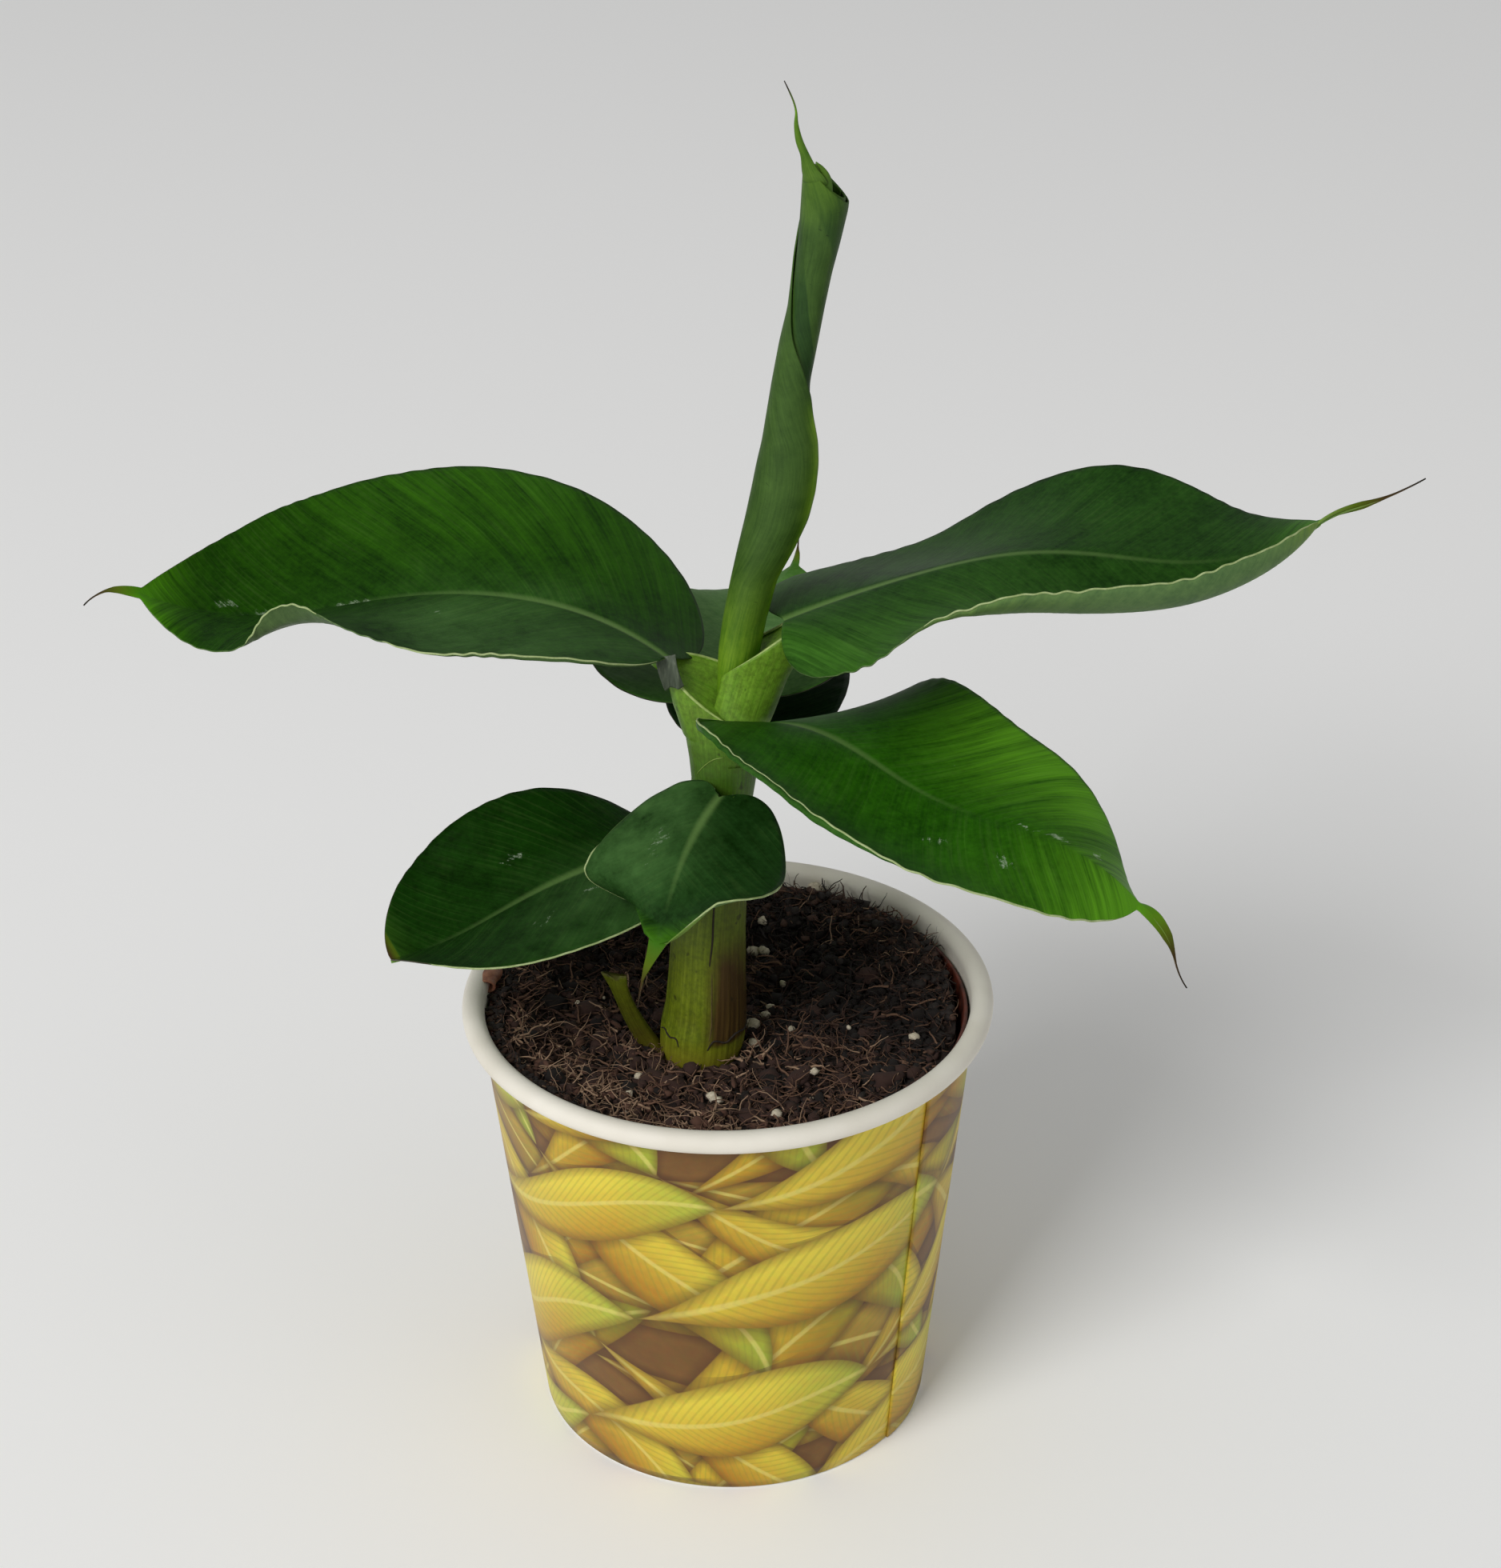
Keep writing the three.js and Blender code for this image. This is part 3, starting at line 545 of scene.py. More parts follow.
def soil_height(x, y):
    r, f = np.hypot(x, y), np.arctan2(y, x)
    heap = SOIL_RISE * (r / POT_SHOULDER) ** 2 * (0.53 + 0.64 * np.cos(f - HEAP_AZIMUTH))
    bank = BANK_RISE * np.clip((r - 36) / 18, 0, 1) * np.clip(np.cos(f - HEAP_AZIMUTH), 0, 1) ** 2
    bank = bank + LEFT_RISE * np.clip((r - 40) / 16, 0, 1) * np.clip(np.cos(f - LEFT_AZIMUTH), 0, 1)
    ripple = 0.6 * np.sin(3 * f + 0.13 * r) * np.sin(r / 9)
    return SOIL_LEVEL + heap + bank + ripple + RELIEF_RISE * relief_at(x, y)


def bed_place(s, v):
    r = SOIL_OUT * np.sqrt(s)
    f = np.pi * v
    x, y = r * np.cos(f), r * np.sin(f)
    lumps = relief_at(x, y)
    points = np.stack([x, y, soil_height(x, y) - 0.6], 1)
    return points, np.stack([r, f, s, lumps], 1)


bed = sheet("soil_bed", 90, 220, bed_place, rolled=True)
bm = bmesh.new()
bm.from_mesh(bed.data)
rim_edges = [edge for edge in bm.edges if edge.is_boundary]
skirt = bmesh.ops.extrude_edge_only(bm, edges=rim_edges)["geom"]
skirt_verts = [item for item in skirt if isinstance(item, bmesh.types.BMVert)]
for vert in skirt_verts:
    vert.co.x *= 0.98
    vert.co.y *= 0.98
    vert.co.z = SKIRT_FOOT * MM
bmesh.ops.holes_fill(bm, edges=bm.edges, sides=400)
bmesh.ops.recalc_face_normals(bm, faces=bm.faces)
bm.to_mesh(bed.data)
bm.free()
bed.data.shade_smooth()
print("soil bed faces:", len(bed.data.polygons))

# %% Soil materials
# Damp peat: dark brown with no shine; the hollows of its bump are painted nearly black, as painted shade
peat, tree, skin = new_material("moist peat and coir")
where = add(tree, "TexCoord").outputs["Object"]
crumb = add(tree, "TexNoise", {"Vector": where, "Scale": 420.0, "Detail": 8.0, "Roughness": 0.7})
tone = add(tree, "ValToRGB", {"Fac": crumb},
           stops=[(0.3, "#0d0806"), (0.52, "#261811"), (0.75, "#4a3225")])
bump = add(tree, "Bump", {"Height": crumb, "Strength": 0.9, "Distance": 0.0012})
fill(tree, skin, {"Base Color": tone, "Normal": bump, "Roughness": 0.9})
keep(bed, "coir_soil", ["soil"], peat)

# Coir husk and peat are dull browns, from wet and dark to dry and pale; where tint_for deals them, the darker
# ones are painted shade
FIBRE_TINTS = [("coir fibre, dark", "#1b110c"), ("coir fibre, red brown", "#3f281c"),
               ("coir fibre, mid brown", "#6b4e3b"), ("coir fibre, pale", "#9c7f66")]
fibre_materials = [plain_material(name, tint, 0.8) for name, tint in FIBRE_TINTS]
crumb_materials = [plain_material("peat crumb, dark", "#140c08", 0.95),
                   plain_material("peat crumb, brown", "#35211a", 0.95),
                   plain_material("husk chip, red brown", "#523629", 0.9)]
# Expanded rock: rough and chalky, stained by the peat
perlite_white = mottled_material("expanded perlite grain", "#a89c86", "#d3c8b2", 0.8, 0.9)
print("fibre tints:", len(fibre_materials))

# %% Helpers that scatter
STEM_FOOT = (-7.0, -8.0)
STEM_CLEAR = 10.5
WALL_CLEAR = 116.5        # above this height a fibre may reach out over the pot's wall


def on_soil(r, f, lift=0.0):
    """The place on the soil at radius r and azimuth f, lifted a little."""
    x, y = r * math.cos(f), r * math.sin(f)
    return Vector((x, y, float(soil_height(np.array([x]), np.array([y]))[0]) + lift))


def soil_spot(draw, reach):
    """A random place on the soil that keeps clear of the stem."""
    while True:
        spot = on_soil(reach * math.sqrt(draw.random()), draw.uniform(-math.pi, math.pi))
        if math.hypot(spot.x - STEM_FOOT[0], spot.y - STEM_FOOT[1]) > STEM_CLEAR:
            return spot


def joined(name, jobs, materials):
    """One mesh of many small forms. They are made forty at a time, because an operator gets slow
    in a mesh that already holds thousands of faces, and each lot is then added to the whole."""
    whole = bmesh.new()
    for first in range(0, len(jobs), 40):
        lot = bmesh.new()
        for job, values in jobs[first:first + 40]:
            job(lot, *values)
        lot_mesh = bpy.data.meshes.new("lot")
        lot.to_mesh(lot_mesh)
        lot.free()
        whole.from_mesh(lot_mesh)
        bpy.data.meshes.remove(lot_mesh)
    mesh = bpy.data.meshes.new(name)
    whole.to_mesh(mesh)
    whole.free()
    print(name, "faces:", len(mesh.polygons))
    return keep(stand(name, mesh), "coir_soil", ["soil"], *materials)


def add_lump(bm, draw, spot, size, index, detail=1, flat=1.0, long=1.25):
    made = bmesh.ops.create_icosphere(bm, subdivisions=detail, radius=size * MM)["verts"]
    phase = Vector([draw.uniform(0, 50) for _ in range(3)])
    turn = Matrix.Rotation(draw.uniform(0, 6.28), 3, "Z") @ Matrix.Rotation(draw.uniform(-0.7, 0.7), 3, "X")
    for vert in made:
        grow = 1 + 0.55 * noise.noise(vert.co / MM / size * 1.3 + phase)
        vert.co = turn @ Vector((vert.co.x * long, vert.co.y, vert.co.z * flat)) * grow + spot * MM
    for face in {face for vert in made for face in vert.link_faces}:
        face.material_index = index


def add_fibre(bm, draw, spot, length, thick, index, lift, toward=None):
    """A thin crooked hair: a three-sided ring drawn along a wandering line."""
    f = draw.uniform(-math.pi, math.pi) if toward is None else toward
    heading = Vector((math.cos(f), math.sin(f), lift)).normalized()
    steps = 6
    ring = bmesh.ops.create_circle(bm, segments=3, radius=thick * MM)["verts"]
    facing = heading.to_track_quat("Z", "Y").to_matrix()
    for vert in ring:
        vert.co = facing @ vert.co + spot * MM
    edges = list({edge for vert in ring for edge in vert.link_edges})
    faces = []
    for step in range(steps):
        heading += Vector([draw.gauss(0, 0.34), draw.gauss(0, 0.34), draw.gauss(-0.1 * lift, 0.22)])
        heading.normalize()
        moved = bmesh.ops.extrude_edge_only(bm, edges=edges)["geom"]
        verts = [item for item in moved if isinstance(item, bmesh.types.BMVert)]
        faces += [item for item in moved if isinstance(item, bmesh.types.BMFace)]
        edges = [item for item in moved if isinstance(item, bmesh.types.BMEdge)]
        middle = sum((vert.co for vert in verts), Vector()) / 3
        goal = middle + heading * length / steps * MM
        reach = math.hypot(goal.x, goal.y)
        if reach > (SOIL_OUT + 0.5) * MM and goal.z < WALL_CLEAR * MM:
            goal.xy = goal.xy * (SOIL_OUT + 0.5) * MM / reach
        for vert in verts:
            vert.co = goal + (vert.co - middle) * 0.86
    for face in faces:
        face.material_index = index


def painted_lightness(draw, spot):
    """Painted shade for the scatter: near 1 on clods and in front, near 0 in hollows and at the right, where
    the soil lies in shade.
    """
    clod = float(relief_at(np.array([spot.x]), np.array([spot.y]))[0])
    return 0.48 + 0.45 * clod - 0.0055 * spot.x - 0.008 * spot.y + draw.gauss(0, 0.2)


def tint_for(draw, spot, marks):
    """How many of the marks the painted light of this place passes: the number of its tint, so a darker tint
    is painted shade.
    """
    light = painted_lightness(draw, spot)
    return sum(light > mark for mark in marks)


print("soil keeps %.1f mm clear of the stem's axis" % STEM_CLEAR)

# %% Crumbs and fibres
draw = random.Random(FIRST_SEED)
crumbs = []
# Crumbs on the open soil take darker tints in hollows and towards the right: painted shade
for _ in range(3000):
    spot = soil_spot(draw, SOIL_OUT - 1.5)
    size = draw.uniform(0.4, 1.3) * (1.8 if draw.random() < 0.05 else 1)
    index = tint_for(draw, spot, (0.55, 1.05))
    spot.z += size * 0.3 + draw.uniform(0, 0.5)
    crumbs.append((add_lump, (draw, spot, size, index, 1, 0.8)))
for _ in range(800):
    spot = soil_spot(draw, SOIL_OUT - 2)
    index = tint_for(draw, spot, (0.35, 0.7))
    spot.z += draw.uniform(0.6, 1.6)
    size = draw.uniform(0.3, 0.7)
    crumbs.append((add_lump, (draw, spot, size, index, 1, 0.4, draw.uniform(2, 5))))
for _ in range(46):
    spot = soil_spot(draw, SOIL_OUT - 4)
    spot.z += 0.4
    crumbs.append((add_lump, (draw, spot, draw.uniform(1.6, 3.0), draw.choice((0, 1, 1)), 2, 0.75)))
joined("peat_crumbs", crumbs, crumb_materials)

fibres = []
# Fibres on the open soil too take darker tints in hollows and towards the right: painted shade
for _ in range(2300):
    spot = soil_spot(draw, SOIL_OUT - 0.8)
    index = tint_for(draw, spot, (0.2, 0.55, 0.95))
    spot.z += draw.uniform(0, 1.7)
    lift = draw.uniform(0, 0.85) ** 1.5
    length = draw.uniform(2.5, 8) + 7 * draw.random() ** 4
    fibres.append((add_fibre, (draw, spot, length, draw.uniform(0.11, 0.26), index, lift)))
for _ in range(760):
    spot = soil_spot(draw, SOIL_OUT - 2)
    index = tint_for(draw, spot, (0.1, 0.4, 0.8))
    spot.z += draw.uniform(0.8, 1.9)
    fibres.append((add_fibre, (draw, spot, draw.uniform(3, 9), draw.uniform(0.28, 0.5), index,
                               draw.uniform(0, 0.4))))
joined("coir_fibres", fibres, fibre_materials)

# %% White grains
# Grains that show in the photograph: x, y and size in mm
PERLITE = [(23, 52, 1.7), (9, 43, 1.1), (6.5, 34.5, 1.2), (9.3, 34, 1.1), (6, 0, 1.3), (15.8, -1, 0.8),
           (9.4, 6, 1.0), (10.6, 9, 0.8), (14, 20, 0.7), (46, -11, 1.0), (-22, -22, 0.9), (-24, -30, 0.8),
           (-3.9, -32, 1.0), (-2.4, -33, 0.8), (11, -23, 0.6), (21, -24, 0.8), (11.4, -40, 1.0),
           (6.4, -7, 1.1), (-38, 10, 0.6), (30, -3, 0.5)]
grains = []
for x, y, size in PERLITE:
    z = float(soil_height(np.array([x]), np.array([y]))[0])
    grains.append((add_lump, (draw, Vector((x, y, z + 1.7)), 1.15 * size, 0, 2)))
for _ in range(14):
    spot = soil_spot(draw, SOIL_OUT - 3) + Vector((0, 0, 0.3))
    grains.append((add_lump, (draw, spot, draw.uniform(0.3, 0.7), 0, 2)))
joined("perlite_grains", grains, [perlite_white])

# %% Loose fibre at the back right and at the left
# A bank of it lies at the back right, where a few clumps hang over the rim
BANK_AZIMUTH, BANK_SPREAD = 42, 24
CLUMPS = [(63, 5), (57, 11), (47, 8), (34, 11), (27, 6), (19, 7)]      # azimuth in degrees, fibres
tufts = []
for _ in range(640):
    f = math.radians(draw.gauss(BANK_AZIMUTH, BANK_SPREAD))
    spot = on_soil(SOIL_OUT - 0.8 - abs(draw.gauss(0, 7)), f, draw.uniform(0, 2.6))
    index = draw.choices((0, 1, 2, 3), (4, 3, 1.5, 0.5))[0]
    tufts.append((add_fibre, (draw, spot, draw.uniform(4, 9), draw.uniform(0.14, 0.36), index,
                              draw.uniform(0, 0.5))))
for azimuth, count in CLUMPS:
    middle = math.radians(azimuth)
    for number in range(count):
        f = middle + draw.gauss(0, 0.035)
        spot = on_soil(SOIL_OUT - draw.uniform(0.5, 4), f, draw.uniform(1, 3))
        index = draw.choices((0, 1, 2, 3), (1, 4, 3, 0.6))[0]
        tufts.append((add_fibre, (draw, spot, draw.uniform(3, 8), draw.uniform(0.22, 0.5), index,
                                  draw.uniform(0.0, 0.8), middle + draw.gauss(0, 1.1))))
        lump = spot + Vector((0, 0, draw.uniform(0, 1.5)))
        tufts.append((add_lump, (draw, lump, draw.uniform(0.6, 1.3), draw.choice((0, 1)), 1, 0.7, 1.6)))
for _ in range(520):
    f = math.radians(draw.gauss(BANK_AZIMUTH, BANK_SPREAD))
    spot = on_soil(SOIL_OUT - abs(draw.gauss(0, 6)) - 0.6, f, draw.uniform(0, 2.4))
    tufts.append((add_lump, (draw, spot, draw.uniform(0.5, 1.4), draw.choice((0, 0, 1)), 1, 0.8)))
# At the left the soil has spilled over the lip of the grower's pot
for number in range(560):
    f = math.radians(draw.uniform(158, 238))
    r = SOIL_OUT + draw.uniform(-3, 2.9)
    level = on_soil(min(r, SOIL_OUT - 1.5), f, -0.3).z
    if r > SOIL_OUT - 0.5:
        level = max(level, LINER_HIGH.z - 0.2)
    spot = Vector((r * math.cos(f), r * math.sin(f), level + draw.uniform(0, 0.8)))
    if number % 3:
        tufts.append((add_lump, (draw, spot, draw.uniform(0.5, 1.1), draw.choice((0, 0, 1)), 1, 0.7, 1.5)))
    else:
        tufts.append((add_fibre, (draw, spot, draw.uniform(2, 6), draw.uniform(0.15, 0.34),
                                  draw.choice((0, 1, 1, 2)), draw.uniform(0, 0.3), f + draw.uniform(1, 5))))
joined("fibre_bank", tufts, fibre_materials)
print("soil pieces done")

# %% [markdown]
# ## Stem
# A banana plant has no woody trunk: its stem is a bundle of leaf sheaths wrapped round each
# other, so it shows long ribs, and edges where one sheath ends over the next. The stem is one
# tube with ribs pressed into its section, and each sheath edge is a thin raised strip that
# follows the surface. An old sheath on the right has dried to brown.

# %% Stem shape
STEM = np.array([
    (96, -7.4, -8, 5.5, 5.5), (99.5, -7.3, -8, 7.8, 7.8), (103.5, -7, -8, 9.6, 9.6),
    (108, -6.5, -7.9, 10.4, 10.4), (112.5, -6.1, -7.6, 10.5, 10.5), (118, -5.4, -7.1, 9.9, 9.9),
    (127, -4.9, -6.3, 9.4, 9.3), (138, -4.4, -5.4, 9, 8.8), (150, -3.2, -4.2, 8.3, 8.2),
    (162, -2, -3.2, 7.9, 7.8), (172, -0.8, -2.3, 7.6, 7.6), (178, 0.1, -1.8, 7.7, 7.5),
    (184, 0.2, -1.2, 8.3, 7.5), (189, 0, -0.7, 8.8, 7.5), (194.5, 0.2, -0.2, 8.9, 7.4),
])
STEM_RIBS = 19
SLIT_AZIMUTH = math.radians(-83)      # left edge of the brown sheath
SLIT_END = math.radians(48)
BROWN_TOP = 158.0


def stem_at(z):
    return [np.interp(z, STEM[:, 0], STEM[:, k]) for k in (1, 2, 3, 4)]


def stem_surface(f, z, proud=0.0):
    cx, cy, a, b = stem_at(z)
    rib = 0.055 * np.cos(STEM_RIBS * f + 0.9 * np.sin(z / 17)) + 0.04 * np.cos(43 * f + z / 29)
    rib = rib + 0.03 * np.cos(71 * f - z / 40)
    fade = np.clip((z - 98) / 12, 0, 1) * np.clip((196 - z) / 40, 0.25, 1)
    # The brown sheath lies over the green one from the slit to the right
    over = np.clip((f - SLIT_AZIMUTH) * 14, 0, 1) * np.clip((SLIT_END - f) * 4, 0, 1)
    over = 0.1 * over * np.clip((z - 112) / 2, 0, 1) * np.clip((BROWN_TOP - z) / 10, 0, 1)
    grow = rib * fade + over + proud
    return np.stack([cx + (a + grow) * np.cos(f), cy + (b + grow) * np.sin(f), z], 1)


def stem_place(s, v):
    z = STEM[0, 0] + s * (STEM[-1, 0] - STEM[0, 0])
    f = np.pi * v + math.radians(90)
    f = np.where(f > np.pi, f - 2 * np.pi, f)
    points = stem_surface(f, z)
    brown = np.clip((f - SLIT_AZIMUTH + 0.25) * 1.9, 0, 1) * np.clip((SLIT_END - f) * 3, 0, 1)
    lower = np.clip((BROWN_TOP - 10 - z) / 30, 0, 1)
    brown = brown * (0.3 + 0.7 * lower * lower * (3 - 2 * lower)) * np.clip((180 - z) / 20, 0, 1)
    brown = brown * np.clip((z - 110.5) / 2, 0, 1)
    return points, np.stack([f * 10, z, np.abs(v), brown], 1)


stem = sheet("stem", 110, 180, stem_place, rolled=True, capped=True)
print("stem faces:", len(stem.data.polygons))

# %% Stem finish
# Waxy sheath: long fine streaks with a low sheen, dried to dull brown where it is old
RIB_GAP_MM = 0.8
living_stem, tree, skin = new_material("fresh leaf sheath, waxy")
around, height, brown = (add(tree, "Attribute", attribute_name=label).outputs["Fac"]
                         for label in ("along", "across", "tint"))
slow_height = add(tree, "Math", {0: height, 1: 0.03}, operation="MULTIPLY")
flat = add(tree, "CombineXYZ", {"X": around, "Y": slow_height})
streak = add(tree, "TexNoise", {"Vector": flat, "Scale": 1 / RIB_GAP_MM, "Detail": 6.0, "Roughness": 0.65})
where = add(tree, "TexCoord").outputs["Object"]
blotch = add(tree, "TexNoise", {"Vector": where, "Scale": 80.0, "Detail": 5.0})
green = add(tree, "ValToRGB", {"Fac": streak},
            stops=[(0.25, "#535f0a"), (0.5, "#68760e"), (0.75, "#828e26")])
upper_green = add(tree, "ValToRGB", {"Fac": streak},
                  stops=[(0.25, "#30510a"), (0.75, "#4a6f1c")])
green = wash(tree, green, upper_green, height, 130.0, 180.0)
top_green = add(tree, "ValToRGB", {"Fac": streak}, stops=[(0.2, "#50800f"), (0.8, "#80a833")])
green = wash(tree, green, top_green, height, 182.0, 202.0)
grain = add(tree, "TexNoise", {"Vector": where, "Scale": 700.0, "Detail": 4.0, "Roughness": 0.7})
green = wash(tree, green, "#34420a", grain, 0.6, 0.35, 0.45)
green = wash(tree, green, "#877325", height, 114.0, 101.0, 0.8)
dry = add(tree, "ValToRGB", {"Fac": streak}, stops=[(0.3, "#33230e"), (0.55, "#4a3716"), (0.75, "#635022")])
patchy = add(tree, "Math", {0: blotch, 1: 1.1, 2: -0.55}, operation="MULTIPLY_ADD")
patchy = add(tree, "Math", {0: patchy, 1: brown}, operation="ADD")
finish = wash(tree, green, dry, patchy, 0.15, 0.85)
specks = add(tree, "TexNoise", {"Vector": where, "Scale": 330.0, "Detail": 1.0})
finish = wash(tree, finish, "#1c1808", specks, 0.7, 0.74, 0.6)
bump = add(tree, "Bump", {"Height": streak, "Strength": 0.4, "Distance": 0.0004})
fill(tree, skin, {"Base Color": finish, "Normal": bump, "Roughness": 0.48, "Specular IOR Level": 0.25})
keep(stem, "green_stem", ["pseudostem"], living_stem)
print("stem material:", living_stem.name)

# %% Sheath edges and cuts on the stem
# A margin is thinner than its sheath, so it looks paler; a cut dries nearly black
pale_edge = mottled_material("sheath margin, pale green", "#7f9a48", "#a3b668", 1.5, 0.45)
thin_edge = mottled_material("sheath edge, green", "#5c7a24", "#7d9640", 1.5, 0.5)
dark_cut = mottled_material("dried cut of a sheath", "#140d06", "#2c1f10", 1.0, 0.8)
brown_edge = mottled_material("dried sheath margin", "#3c2c14", "#5c4824", 1.2, 0.7)


def strip_on_stem(name, places, thick, material, proud):
    """A thin strip that follows the stem through places of (azimuth in degrees, height)."""
    places = np.array(places, float)
    steps = np.linspace(0, 1, 8 * len(places))
    f, z = smooth(np.radians(places[:, 0]), steps), smooth(places[:, 1], steps)
    centres = stem_surface(f, z, proud)
    outward = unit(np.stack([np.cos(f), np.sin(f), 0 * f], 1))
    forward = unit(np.gradient(centres, axis=0))
    side = unit(np.cross(forward, outward))

    def reach(s, g):
        taper = thick * (0.35 + 0.65 * np.sqrt(np.clip(4 * s * (1 - s), 0, 1)))
        return 0.8 * taper * np.cos(g), taper * np.sin(g)

    piece = tube(name, (centres, side, outward), 10, reach, round_marks)
    return keep(piece, "green_stem", ["pseudostem"], material)


STRIPS = [
    ("sheath_edge_outer", [(-90, 187), (-106, 186.3), (-124, 184.2), (-142, 181.5)], 0.17, thin_edge, 0.03),
    ("sheath_edge_inner", [(-142, 179), (-128, 176.5), (-116, 173), (-108, 169)], 0.15, thin_edge, 0.03),
    ("sheath_edge_left", [(-176, 176), (-168, 170), (-158, 163), (-150, 158)], 0.3, pale_edge, 0.1),
    ("brown_sheath_slit", [(-86, 152), (-85.5, 146), (-84, 139), (-87, 133)], 0.3, dark_cut, 0.02),
    ("brown_sheath_edge", [(-83, 131), (-82, 124), (-81, 117), (-82, 113.5)], 0.18, brown_edge, 0.0),
    ("foot_cut_left", [(-168, 112.6), (-155, 113.6), (-142, 112.6), (-130, 113), (-124, 111)],
     0.24, dark_cut, 0.1),
    ("foot_cut_right", [(-84, 111), (-76, 113.4), (-58, 112.4), (-40, 113.6), (-15, 112.6), (8, 113)],
     0.3, dark_cut, 0.1),
]
for strip in STRIPS:
    strip_on_stem(*strip)
print("stem strips:", len(STRIPS))

# %% [markdown]
# ## The cut side shoot
# A stub of a side shoot stands left of the stem: a flat, channelled stalk whose cut end has split
# into two points. A tube with a flattened section does it, with its end pulled apart in two.

# %% Side shoot
STUB_FOOT = np.array([-16.9, -5.2, 100])
STUB_TOP = np.array([-27.4, -15, 131.5])
STUB_ROWS = [(3.5, 2.5), (3.1, 2.2), (2.7, 1.8), (2.4, 1.5), (3.0, 1.1)]


def stub_reach(s, f):
    rows = smooth(STUB_ROWS, s)
    notch = np.clip((s - 0.86) / 0.14, 0, 1)
    across = rows[:, 0] * np.cos(f) * (1 + 0.25 * notch)
    above = rows[:, 1] * np.sin(f) * (1 - 0.35 * notch)
    return across, above - 0.5 * (np.sin(f) > 0) * np.sin(f) ** 2 * rows[:, 1]


def stub_marks(s, f):
    return np.stack([8 * f, 100 + 32 * s, f, 0.36 + 0.15 * (1 - s) + 0.3 * (s > 0.97)], 1)


stub_line = np.linspace(STUB_FOOT, STUB_TOP, 12)
stub_line[:, 0] -= 1.2 * np.sin(np.linspace(0, np.pi, 12))
stub_dir = unit((STUB_TOP - STUB_FOOT)[None, :])
stub_side = unit(np.cross(stub_dir, np.array([[-0.5, -0.8, 0.3]])))
stub_up = unit(np.cross(stub_side, stub_dir))
stub = tube("side_shoot_stub", (stub_line, np.repeat(stub_side, 12, 0), np.repeat(stub_up, 12, 0)), 24,
            stub_reach, stub_marks)
bm = bmesh.new()
bm.from_mesh(stub.data)
stub_axis, stub_across = Vector(stub_dir[0]), Vector(stub_side[0])
for vert in bm.verts:
    beyond = (vert.co / MM - Vector(STUB_TOP)).dot(stub_axis) + 4
    if beyond > 0:
        off = abs((vert.co / MM - Vector(stub_line[-1])).dot(stub_across)) / 2.9
        vert.co -= stub_axis * MM * 2.2 * (beyond / 4) * max(0, 1 - 1.6 * off)
bm.to_mesh(stub.data)
bm.free()
keep(stub, "green_stem", ["cut_stub"], living_stem)
print("stub faces:", len(stub.data.polygons))

# %% [markdown]
# ## Leaf shapes
# A banana leaf is one midrib with a half blade on each side. The midrib is steered: pitch and yaw
# at equal steps from base to tip. Each half stands at a tilt to the midrib and curls towards its
# margin, and the sweep turns its side veins to the tip. The names say where each leaf stands. The
# same values make the solids, so that the thin blade lies in the middle of its solid.

